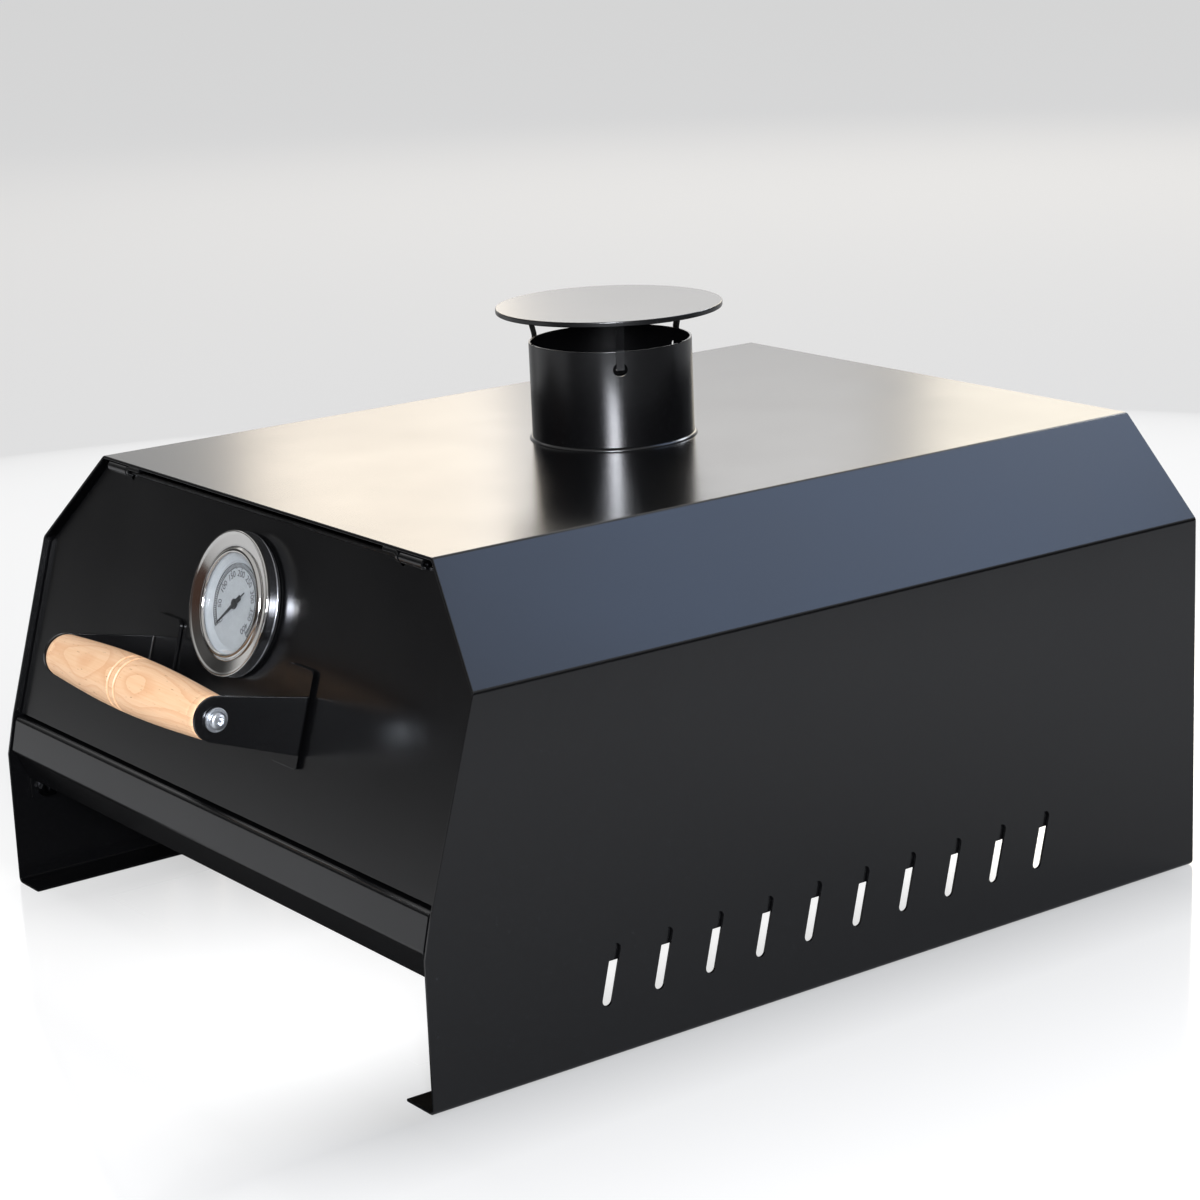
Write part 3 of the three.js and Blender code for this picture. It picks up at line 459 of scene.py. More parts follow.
def folded_strip(name, path, sheet, width, place):
    """A strip of sheet folded along a path of (radius, height) points, in millimetres."""
    points = [Vector(point) for point in path]
    rings = []
    for i, point in enumerate(points):
        ahead = (points[min(i + 1, len(points) - 1)] - point).normalized()
        behind = (point - points[max(i - 1, 0)]).normalized()
        way = (ahead + behind).normalized()
        reach = sheet / 2 / max(0.5, way.dot(ahead if ahead.length else behind))
        side = Vector((-way.y, way.x)) * reach
        rings.append([((point + side * out).x, across * width / 2, (point + side * out).y)
                      for across, out in ((-1, -1), (1, -1), (1, 1), (-1, 1))])
    mesh = lofted_mesh(name, rings, place)
    keep_flats_flat(mesh, SHEET_SMOOTH)
    return link_piece(name, mesh)


def cut_with(piece, cutters):
    """Cuts holes in a piece with the cutters' meshes."""
    for cutter in cutters:
        tool = link_piece("cutter", cutter)
        cut = piece.modifiers.new("cut", "BOOLEAN")
        cut.operation = "DIFFERENCE"
        cut.solver = "EXACT"
        cut.object = tool
        baked(piece)
        bpy.data.objects.remove(tool)
    keep_flats_flat(piece.data, TURNED_SMOOTH)


def new_tree(name, inputs):
    """A Geometry Nodes tree, the function that adds its nodes, and its inputs by name."""
    tree = bpy.data.node_groups.new(name, "GeometryNodeTree")
    for label, kind in inputs.items():
        tree.interface.new_socket(label, in_out="INPUT", socket_type="NodeSocket" + kind)
    tree.interface.new_socket("Geometry", in_out="OUTPUT", socket_type="NodeSocketGeometry")
    add = partial(add_node, tree)
    return tree, add, add("NodeGroupInput").outputs


def run_tree(name, tree, values):
    """Runs a Geometry Nodes tree once and keeps its result as a plain mesh."""
    piece = link_piece(name, bpy.data.meshes.new(name))
    work = piece.modifiers.new("nodes", "NODES")
    work.node_group = tree
    for item in tree.interface.items_tree:
        if item.in_out == "INPUT":
            work[item.identifier] = values[item.name]
    return baked(piece)


# ---------------- settings


class OvenSheetSettings(bpy.types.PropertyGroup):
    edge_round: FloatProperty(
        name="Edge round", description="Rounding of the coated sheet's cut edges",
        default=0.28 * MM, min=0.0, unit="LENGTH", precision=5)
    turned_segments: IntProperty(
        name="Turned segments", description="Faces round each turned piece", default=128, min=24)


class OvenGripSettings(bpy.types.PropertyGroup):
    groove_depth: FloatProperty(
        name="Groove depth", description="Depth of the two rings turned into the grip",
        default=0.8 * MM, min=0.0, unit="LENGTH", precision=5)
    groove_spacing: FloatProperty(
        name="Groove spacing", description="Distance between the middles of the two rings",
        default=5.2 * MM, min=0.0, unit="LENGTH", precision=5)


class OvenDialSettings(bpy.types.PropertyGroup):
    sweep: FloatProperty(
        name="Scale sweep", description="Angle from the first to the last mark",
        default=math.radians(264), subtype="ANGLE")
    tick_count: IntProperty(
        name="Marks", description="Number of fine marks on the scale", default=81, min=2)
    scale_radius: FloatProperty(
        name="Scale radius", description="Radius of the scale's outer ring",
        default=17.2 * MM, unit="LENGTH", precision=5)
    numbers: StringProperty(
        name="Numbers", description="Numbers on the dial in order, with spaces between them",
        default="0 50 100 150 200 250 300 350 400")


class OvenStudioSettings(bpy.types.PropertyGroup):
    lens: FloatProperty(
        name="Lens", description="Focal length of the camera", default=92.82,
        subtype="DISTANCE_CAMERA")
    floor_half: FloatProperty(
        name="Floor half width", description="Half the width of the floor", default=12.0,
        unit="LENGTH")
    lamp_reach: FloatProperty(
        name="Lamp distance", description="Distance of the lamps from the oven", default=3.0,
        unit="LENGTH")


# ---------------- sheet metal

HOOD_SHEETS = ("hood_shell", "rear_panel", "hinge_ear_left", "hinge_ear_right",
               "door_stop_left", "door_stop_right")
TRAY_SHEETS = ("floor_tray", "stone_rail_front", "stone_rail_rear")
DOOR_SHEETS = ("door_panel", "handle_bracket_left", "handle_bracket_right")

# A dark coated strip hung from the sill's folded return, put where there is only shade under the
# sill: painted shade. Its path gives how far each point is behind and above the sill's lower fold.
SHADE_STRIP_PATH = ((2.6, 0.6), (3.1, -0.7), (8.2, -12.4))
SHADE_STRIP_SHEET = 1.2
SHADE_STRIP_END_GAP = 1.8
SILL_DROP = 17.5
SILL_RECESS = 0.6



class OVEN_OT_hood(bpy.types.Operator):
    """Rounds and coats the hood's folded sheets"""
    bl_idname = "oven.hood"
    bl_label = "Hood"

    def execute(self, context):
        edge_round = context.scene.oven_sheet.edge_round
        rounded_pieces(HOOD_SHEETS, "coated", edge_round, "hood", "coat")
        return {"FINISHED"}


class OVEN_OT_tray(bpy.types.Operator):
    """Rounds and coats the tray with its sill, and the rails that carry the stone"""
    bl_idname = "oven.tray"
    bl_label = "Tray"

    def execute(self, context):
        edge_round = context.scene.oven_sheet.edge_round
        rounded_pieces(TRAY_SHEETS, "coated", edge_round, "hood", "coat")
        low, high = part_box("floor_tray")
        fold = Vector((0.0, low.y - SILL_RECESS * MM, high.z - SILL_DROP * MM))
        width = (high.x - low.x) / MM - 2 * SHADE_STRIP_END_GAP
        # A dark strip under the sill, where there is only shade: painted shade
        shade_strip = folded_strip("sill_shade_strip_coated", SHADE_STRIP_PATH, SHADE_STRIP_SHEET, width,
                           Matrix.Translation(fold) @ Matrix.Rotation(math.pi / 2, 4, "Z"))
        set_up(round_edges(shade_strip, edge_round), "hood", "coat")
        return {"FINISHED"}


class OVEN_OT_door(bpy.types.Operator):
    """Rounds and coats the door and the handle's brackets"""
    bl_idname = "oven.door"
    bl_label = "Door and brackets"

    def execute(self, context):
        edge_round = context.scene.oven_sheet.edge_round
        rounded_pieces(DOOR_SHEETS, "coated", edge_round, "door", "coat")
        return {"FINISHED"}


# ---------------- flue

TUBE_RADIUS = 36.2
TUBE_INNER = 35.2
TUBE_DROP = 7.0
TUBE_RISE = 43.5
STRAP_ANGLES = (90, 210, 330)
STRAP_SHEET = 1.0
STRAP_WIDTH = 3.4
# From under the cap, out and down to the tube's rim, down the tube and in through the hook hole
STRAP_PATH = ((18.0, 57.25), (40.6, 57.25), (36.95, 44.0), (36.95, 34.7), (33.2, 34.7))
STRAP_BEND = 1.2
HOOK_HOLE_RISE = 35.5
HOOK_HOLE_RADII = (2.0, 2.0, 2.9)
HOOK_HOLE_REACH = 0.35  # Each hole is this much longer than round to either side
HOOK_CUT = (30.0, 42.0)
CAP_RADIUS = 50.2
CAP_INNER = 49.0
CAP_TOP = 59.0
CAP_UNDER = 57.8
CAP_RIM = 56.7

# Each profile's corners as (radius, height) over the roof, eased
FLUE_PROFILES = {
    "flue_tube": eased([(TUBE_INNER, -TUBE_DROP), (TUBE_RADIUS, -TUBE_DROP),
                        (TUBE_RADIUS, TUBE_RISE), (TUBE_INNER, TUBE_RISE)], 0.3, 3),
    "flue_bead": eased([(36.22, 0.0), (37.6, 0.0), (37.35, 0.5), (36.9, 1.0), (36.22, 1.3)], 0.2),
    "flue_flange": eased([(36.5, -2.7), (48.5, -2.7), (48.5, -1.2), (36.5, -1.2)], 0.25),
    "rain_cap": ([(0, CAP_UNDER), (CAP_INNER - 0.3, CAP_UNDER)]
                 + eased([(CAP_INNER, CAP_UNDER), (CAP_INNER, CAP_RIM), (CAP_RADIUS, CAP_RIM),
                          (CAP_RADIUS, CAP_TOP), (CAP_RADIUS - 2, CAP_TOP)], 0.5, 4, False)
                 + [(0, CAP_TOP)]),
}


def cut_hook_holes(tube, place):
    """Cuts the holes in the tube's wall that the straps hook into."""
    outwards = Matrix(((0, 0, 1, 0), (1, 0, 0, 0), (0, 1, 0, 0), (0, 0, 0, 1)))
    holes = []
    for angle, radius in zip(STRAP_ANGLES, HOOK_HOLE_RADII):
        inner, outer = HOOK_CUT
        hole = turned_mesh("hole", [(0, inner), (radius, inner), (radius, outer), (0, outer)], 24,
                           Matrix())
        for vertex in hole.vertices:
            vertex.co.x += math.copysign(HOOK_HOLE_REACH * MM, vertex.co.x)
        hole.transform(place @ Matrix.Rotation(math.radians(angle), 4, "Z")
                       @ Matrix.Translation((0, 0, HOOK_HOLE_RISE * MM)) @ outwards)
        holes.append(hole)
    cut_with(tube, holes)


class OVEN_OT_flue(bpy.types.Operator):
    """Makes the flue tube with its hook holes, the bead and flange round its foot, and the cap"""
    bl_idname = "oven.flue"
    bl_label = "Flue"

    def execute(self, context):
        foot = middle("flue_tube")
        foot.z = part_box("flue_bead")[0].z
        place = Matrix.Translation(foot)
        for name, profile in FLUE_PROFILES.items():
            piece = turned_piece(name + "_coated", profile,
                                 context.scene.oven_sheet.turned_segments, place)
            if name == "flue_tube":
                cut_hook_holes(piece, place)
            set_up(piece, "hood", "coat", name)
        path = eased(STRAP_PATH, STRAP_BEND, 4, False)
        for number, angle in enumerate(STRAP_ANGLES, 1):
            name = f"cap_strap_{number}"
            strap = folded_strip(name + "_coated", path, STRAP_SHEET, STRAP_WIDTH,
                                 place @ Matrix.Rotation(math.radians(angle), 4, "Z"))
            set_up(strap, "hood", "coat", name)
        return {"FINISHED"}


# ---------------- handle

GRIP_END_RADIUS = 9.3
GRIP_MIDDLE_RADIUS = 11.8
GRIP_END_ROUND = 1.6
GRIP_BORE = 2.5
GRIP_BORE_DEPTH = 26.0
GRIP_STEPS = 48
GROOVE_HALF_WIDTH = 0.9
END_RING_INSET = 4.2
END_RING_DEPTH = 0.1
END_RING_HALF_WIDTH = 0.4
FINE_STEP = 0.2

WASHER_PROFILE = eased([(2.6, 0), (5, 0), (5, 1), (2.6, 1)], 0.25)
BOLT_PROFILE = ((0, -24), (1.6, -24), (2.1, -23.5), (2.1, 0), (3.6, 0), (3.6, 0.8), (3.5, 1.3),
                (3.25, 1.68), (2.9, 1.92), (2.4, 2.06), (1.8, 2.1), (0, 2.1))
BOLT_SEAT = 2.8  # From the bolt's outer end
RECESS_RADIUS = 1.62
RECESS_LOBES = 6
RECESS_LOBE_HEIGHT = 0.24
RECESS_FLOOR = 0.9
ROUND_STEPS = 48


class OVEN_OT_grip(bpy.types.Operator):
    """Turns the beech grip: a barrel with two ring grooves and a bead between them"""
    bl_idname = "oven.grip"
    bl_label = "Grip"

    def execute(self, context):
        settings = context.scene.oven_grip
        low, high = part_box("handle_grip")
        half = (high.x - low.x) / 2 / MM
        barrel = half - GRIP_END_ROUND
        groove = settings.groove_spacing / MM / 2
        end_ring = half - END_RING_INSET
        places = {barrel * i / GRIP_STEPS for i in range(-GRIP_STEPS, GRIP_STEPS + 1)}
        for centre, steps in ((-groove, 5), (groove, 5), (-end_ring, 2), (end_ring, 2)):
            places.update(centre + i * FINE_STEP for i in range(-steps, steps + 1))
        end = [(0, GRIP_BORE_DEPTH - half), (GRIP_BORE, GRIP_BORE_DEPTH - half),
               (GRIP_BORE, -half), (GRIP_END_RADIUS - GRIP_END_ROUND, -half),
               (GRIP_END_RADIUS - 0.6, 0.35 - half), (GRIP_END_RADIUS - 0.12, 0.95 - half)]
        profile = list(end)
        for place in sorted(places):
            swell = math.cos(math.pi / 2 * place / barrel)
            radius = GRIP_END_RADIUS + (GRIP_MIDDLE_RADIUS - GRIP_END_RADIUS) * swell
            for centre in (-groove, groove):
                within = max(0.0, 1 - ((place - centre) / GROOVE_HALF_WIDTH) ** 2)
                radius -= settings.groove_depth / MM * within ** 0.5
            for centre in (-end_ring, end_ring):
                within = max(0.0, 1 - abs(place - centre) / END_RING_HALF_WIDTH)
                radius -= END_RING_DEPTH * within
            profile.append((radius, place))
        profile += [(radius, -height) for radius, height in reversed(end)]
        lay = Matrix.Translation(middle("handle_grip")) @ Matrix.Rotation(math.pi / 2, 4, "Y")
        mesh = turned_mesh("handle_grip_turned", profile, 96, lay)
        mesh.shade_smooth()
        mesh.set_sharp_from_angle(angle=math.radians(50))
        set_up(link_piece("handle_grip_turned", mesh), "door", "beech", "handle_grip")
        return {"FINISHED"}


def lobed_ring(height):
    """The outline of the six-lobed recess in a bolt's head."""
    turns = [math.tau * i / ROUND_STEPS for i in range(ROUND_STEPS)]
    return [(*polar(RECESS_RADIUS + RECESS_LOBE_HEIGHT * math.cos(RECESS_LOBES * turn), turn),
             height) for turn in turns]


class OVEN_OT_bolts(bpy.types.Operator):
    """Makes the handle's pan-head bolts and washers"""
    bl_idname = "oven.bolts"
    bl_label = "Bolts"

    def execute(self, context):
        for side_name, side in (("left", -1), ("right", 1)):
            turn = Matrix.Rotation(side * math.pi / 2, 4, "Y")
            name = "handle_washer_" + side_name
            low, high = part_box(name)
            seat = middle(name)
            seat.x = low.x if side > 0 else high.x
            washer = turned_piece(name + "_plated", WASHER_PROFILE, 64,
                                  Matrix.Translation(seat) @ turn)
            set_up(washer, "door", "zinc", name)
            name = "handle_bolt_" + side_name
            low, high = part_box(name)
            seat = middle(name)
            seat.x = (high.x if side > 0 else low.x) - side * BOLT_SEAT * MM
            place = Matrix.Translation(seat) @ turn
            bolt = link_piece(name + "_plated",
                              turned_mesh("bolt", BOLT_PROFILE, ROUND_STEPS, place))
            cut_with(bolt, [lofted_mesh("recess", [lobed_ring(RECESS_FLOOR), lobed_ring(4.0)],
                                        place)])
            set_up(bolt, "door", "zinc", name)
        return {"FINISHED"}


# ---------------- thermometer

# Each turned part: its node, the finished piece's ending, its finish, and its profile as
# (radius, height) over the door's face
GAUGE_PARTS = (
    ("thermometer_case", "polished", "bezel", eased([
        # The rim's inner lip, its face and its outer bead, down the wall to the lower bead, then
        # along the back and up inside
        (21.0, 6.2), (21.2, 6.75), (21.9, 7.05), (22.7, 6.95), (23.3, 6.5), (23.5, 6.05),
        (23.9, 5.95), (28.8, 7.15), (29.4, 7.45), (29.9, 7.6), (30.3, 7.5), (30.5, 7.1),
        (30.5, 6.5), (30.25, 6.0), (30.2, 2.7), (30.3, 2.4), (30.5, 2.15), (30.5, 1.8),
        (30.3, 1.55), (29.9, 1.5), (29.4, 1.3), (1.2, 1.3), (1.2, 2.4), (25.2, 2.4), (25.2, 5.5),
        (21.0, 5.5)], 0.22)),
    ("thermometer_gasket", "moulded", "rubber",
     eased([(20, 0.3), (29.4, 0.3), (29.4, 1.25), (20, 1.25)], 0.2)),
    ("thermometer_dial", "painted", "dial",
     eased([(1.2, 2.45), (24.9, 2.45), (24.9, 4.25), (21.6, 4.25), (18.4, 2.8), (1.2, 2.8)], 0.1)),
    ("thermometer_lens", "clear", "glass",
     [(0, 4.3), (24.9, 4.3), (24.9, 5.2), (0, 5.2)]),
)
NUT_ROUND = 0.2 * MM

POINTER_REST = math.radians(-132)
BLADE_HEIGHTS = (3.65, 3.95)
HUB_PROFILE = ((0, 3.7), (1.5, 3.7), (1.5, 4.05), (1.2, 4.2), (0, 4.22))
HUB_RADIUS = 2.25
HUB_ARC = math.radians(130)
HUB_STEPS = 12
SPINDLE_PROFILE = ((0, -9), (0.9, -9), (0.9, 3.69), (0, 3.69))

INK_HEIGHT = 2.81 * MM
MARK_LENGTH = 2.0 * MM
MARK_WIDTH = 0.42 * MM
MARK_THICKNESS = 0.04 * MM
RING_THICKNESS = 0.045 * MM
RING_SHARE = 1.3  # Of a mark's width
RING_STEPS = 160
NUMBER_SIZE = 3.8 * MM
NUMBER_DROP = 4.6 * MM
NUMBER_THICKNESS = 0.03 * MM


class OVEN_OT_gauge(bpy.types.Operator):
    """Makes the thermometer's case, gasket, dial, lens, stem and nut"""
    bl_idname = "oven.gauge"
    bl_label = "Thermometer"

    def execute(self, context):
        segments = context.scene.oven_sheet.turned_segments
        for name, ending, finish, profile in GAUGE_PARTS:
            piece = turned_piece(f"{name}_{ending}", profile, segments, GAUGE_PLACE)
            set_up(piece, "door", finish, name)
        rounded_pieces(("thermometer_stem", "thermometer_nut"), "coated", NUT_ROUND, "door", "zinc")
        return {"FINISHED"}


def hub_arc(start):
    """One side of the pointer's hub, clockwise."""
    return [polar(HUB_RADIUS, start - HUB_ARC * i / HUB_STEPS) for i in range(1, HUB_STEPS)]


class OVEN_OT_pointer(bpy.types.Operator):
    """Makes the pointer, a tapering blade, a round hub and a broad tail with a thin tip, and its
    spindle"""
    bl_idname = "oven.pointer"
    bl_label = "Pointer"

    def execute(self, context):
        outline = ([(-0.75, 1.9), (-0.18, 16.0), (0.0, 16.3), (0.18, 16.0), (0.75, 1.9)]
                   + hub_arc(math.radians(65))
                   + [(1.05, -2.0), (1.2, -5.2), (0.25, -5.4), (0.2, -8.6), (-0.2, -8.6),
                      (-0.25, -5.4), (-1.2, -5.2), (-1.05, -2.0)]
                   + hub_arc(math.radians(245)))
        blade = lofted_mesh("blade", [[(x, y, z) for x, y in outline] for z in BLADE_HEIGHTS],
                            GAUGE_PLACE @ Matrix.Rotation(-POINTER_REST, 4, "Z"))
        hub = turned_mesh("hub", HUB_PROFILE, 32, GAUGE_PLACE)
        shape = bmesh.new()
        shape.from_mesh(blade)
        shape.from_mesh(hub)
        mesh = bpy.data.meshes.new("thermometer_pointer_blade")
        shape.to_mesh(mesh)
        shape.free()
        pointer = link_piece("thermometer_pointer_blade", mesh)
        set_up(pointer, "pointer", "needle", "thermometer_pointer")
        spindle = turned_piece("thermometer_spindle_turned", SPINDLE_PROFILE, 24, GAUGE_PLACE)
        set_up(spindle, "pointer", "zinc", "thermometer_spindle")
        return {"FINISHED"}


def finish_tree(add, given, pieces):
    """Joins a tree's pieces as one mesh in ink."""
    joined = add("GeometryNodeRealizeInstances", add("GeometryNodeJoinGeometry", pieces))
    add("NodeGroupOutput", add("GeometryNodeSetMaterial", joined,
                               inputs={"Material": given["Ink"]}))


def scale_tree():
    """The dial's scale: fine marks between two rings. Every tenth mark is long, every fifth
    reaches half way."""
    tree, add, given = new_tree("dial_scale", {
        "Marks": "Int", "Sweep": "Float", "Radius": "Float", "Mark Length": "Float",
        "Mark Width": "Float", "Ink": "Material"})
    sweep, radius, length, width = (
        given[name] for name in ("Sweep", "Radius", "Mark Length", "Mark Width"))
    index = add("GeometryNodeInputIndex")
    share = add("Math:DIVIDE", index, add("Math:SUBTRACT", given["Marks"], 1.0))
    half_sweep = add("Math:MULTIPLY", sweep, 0.5)
    angle = add("Math:SUBTRACT", half_sweep, add("Math:MULTIPLY", share, sweep))
    every_tenth, every_fifth = (
        add("Math:COMPARE", add("Math:MODULO", index, every), 0.0) for every in (10.0, 5.0))
    longer = add("Math:ADD", add("Math:MULTIPLY", every_tenth, 0.25),
                 add("Math:MULTIPLY", every_fifth, 0.15))
    reach = add("Math:MULTIPLY", add("Math:ADD", longer, 1.0), length)
    out = add("Math:SUBTRACT", radius, add("Math:MULTIPLY", reach, 0.5))
    across = add("Math:MULTIPLY", add("Math:SINE", angle), add("Math:MULTIPLY", out, -1.0))
    up = add("Math:MULTIPLY", add("Math:COSINE", angle), out)
    spots = add("GeometryNodeSetPosition", add("GeometryNodeMeshLine", given["Marks"]),
                inputs={"Position": add("CombineXYZ", across, up)})
    mark = add("GeometryNodeMeshCube", add("CombineXYZ", width, 1.0, MARK_THICKNESS))
    pieces = [add("GeometryNodeInstanceOnPoints", spots, inputs={
        "Instance": mark, "Rotation": add("CombineXYZ", 0.0, 0.0, angle),
        "Scale": add("CombineXYZ", 1.0, reach, 1.0)})]
    start = add("Math:SUBTRACT", math.pi / 2, half_sweep)
    bar = add("GeometryNodeCurvePrimitiveQuadrilateral", RING_THICKNESS,
              add("Math:MULTIPLY", width, RING_SHARE))
    for drop in (0.0, 1.0):
        ring_radius = add("Math:SUBTRACT", radius, add("Math:MULTIPLY", length, drop))
        arc = add("GeometryNodeCurveArc", RING_STEPS, ring_radius, start, sweep)
        pieces.append(add("GeometryNodeCurveToMesh", arc, bar, inputs={"Fill Caps": True}))
    finish_tree(add, given, pieces[::-1])
    return tree


def numbers_tree(numbers):
    """The dial's numbers, set upright round the scale."""
    tree, add, given = new_tree("dial_numbers", {
        "Sweep": "Float", "Radius": "Float", "Size": "Float", "Ink": "Material"})
    radius = given["Radius"]
    pieces = []
    for i, number in enumerate(numbers):
        angle = add("Math:MULTIPLY", given["Sweep"], i / (len(numbers) - 1) - 0.5)
        text = add("GeometryNodeStringToCurves", number, given["Size"], align_x="CENTER",
                   align_y="MIDDLE")
        filled = add("GeometryNodeFillCurve", add("GeometryNodeRealizeInstances", text))
        spot = add("CombineXYZ", add("Math:MULTIPLY", add("Math:SINE", angle), radius),
                   add("Math:MULTIPLY", add("Math:COSINE", angle), radius))
        pieces.append(add(
            "GeometryNodeTransform",
            add("GeometryNodeExtrudeMesh", filled, inputs={"Offset Scale": NUMBER_THICKNESS}),
            inputs={"Translation": spot, "Rotation": add(
                "CombineXYZ", 0.0, 0.0, add("Math:MULTIPLY", angle, -1.0))}))
    finish_tree(add, given, pieces)
    return tree


class OVEN_OT_scale(bpy.types.Operator):
    """Prints the scale and its numbers on the dial"""
    bl_idname = "oven.scale"
    bl_label = "Dial scale"

    def execute(self, context):
        settings = context.scene.oven_dial
        common = {"Sweep": settings.sweep, "Ink": FINISHES["ink"][0]}
        marks = run_tree("thermometer_scale_marks", scale_tree(), {
            **common, "Marks": settings.tick_count, "Radius": settings.scale_radius,
            "Mark Length": MARK_LENGTH, "Mark Width": MARK_WIDTH})
        numbers = run_tree("thermometer_scale_numbers", numbers_tree(settings.numbers.split()), {
            **common, "Radius": settings.scale_radius - NUMBER_DROP, "Size": NUMBER_SIZE})
        for piece in (marks, numbers):
            piece.data.transform(GAUGE_PLACE @ Matrix.Translation((0, 0, INK_HEIGHT)))
            set_up(piece, "door", "ink")
        return {"FINISHED"}


# ---------------- stone and small fasteners

STONE_ROUND = 0.6 * MM
STUD_ROUND = 0.15 * MM


class OVEN_OT_stone(bpy.types.Operator):
    """Rounds the pizza stone's edges and fires it"""
    bl_idname = "oven.stone"
    bl_label = "Stone"

    def execute(self, context):
        stone = round_edges(merged_copy("pizza_stone", "pizza_stone_fired"), STONE_ROUND, 3)
        set_up(stone, "stone", "stone", "pizza_stone")
        return {"FINISHED"}


class OVEN_OT_fasteners(bpy.types.Operator):
    """Plates the hinge rod, and the studs and nuts that hold the tray"""
    bl_idname = "oven.fasteners"
    bl_label = "Rod, studs and nuts"

    def execute(self, context):
        names = ["hinge_rod"] + [f"tray_{kind}_{end}_{side}" for kind in ("stud", "nut")
                                 for end in ("front", "rear") for side in ("left", "right")]
        rounded_pieces(names, "plated", STUD_ROUND, "hood", "dark_zinc")
        return {"FINISHED"}


# ---------------- studio

CAMERA_PLACE = Vector((1.0915, -0.7651, 0.4840))
CAMERA_RIGHT = Vector((0.59389, 0.80355, -0.04002))
CAMERA_UP = Vector((-0.18242, 0.18293, 0.96606))
CAMERA_BACK = Vector((0.78360, -0.56643, 0.25523))
LAMP_AIM = Vector((0.0, 0.0, 0.15))
POWER_PER_RADIANCE = 4  # An area lamp's power over its radiance and area

# Name, compass angle from +X, elevation, width, height, radiance
LAMPS = (
    ("key_strip", -34.0, 17.5, 0.60, 0.75, (58.0, 60.0, 63.5)),
    ("warm_rear_left", 149.7, 20.0, 0.37, 1.03, (2.48, 2.14, 1.70)),
    ("warm_rear_right", 126.4, 20.0, 0.86, 1.03, (2.52, 2.25, 1.80)),
    ("neutral_rear", 141.4, 22.0, 0.56, 1.03, (1.15, 1.13, 1.11)),
    ("cool_overhead", 68.5, 48.0, 1.00, 1.20, (0.75, 1.12, 1.90)),
)
# Strips that only polish and gloss show: in the flue, and along folds and cut edges
STRIPS = (
    ("tube_strip", -36.0, 17.5, 0.95, 0.75, (34.0, 35.0, 38.0)),
    ("fold_strip_right", 99.0, 34.0, 1.30, 0.50, (12.0, 12.8, 14.0)),
    ("fold_strip_left", -172.0, 34.0, 1.00, 0.50, (0.5, 0.5, 0.5)),
)

FLOOR_DROP = 0.0002
DARK_HALF_WIDTH = 0.171  # Of the floor's painted shade under the oven, as gloss shows it
WIDTH_PER_LENGTH = 0.77


def patch(add, *edges):
    """A soft-edged patch of the surroundings. Each edge is a coordinate, where the patch starts
    and where it is full."""
    shares = [add("MapRange", *edge) for edge in edges]
    return reduce(partial(add, "Math:MULTIPLY"), shares)


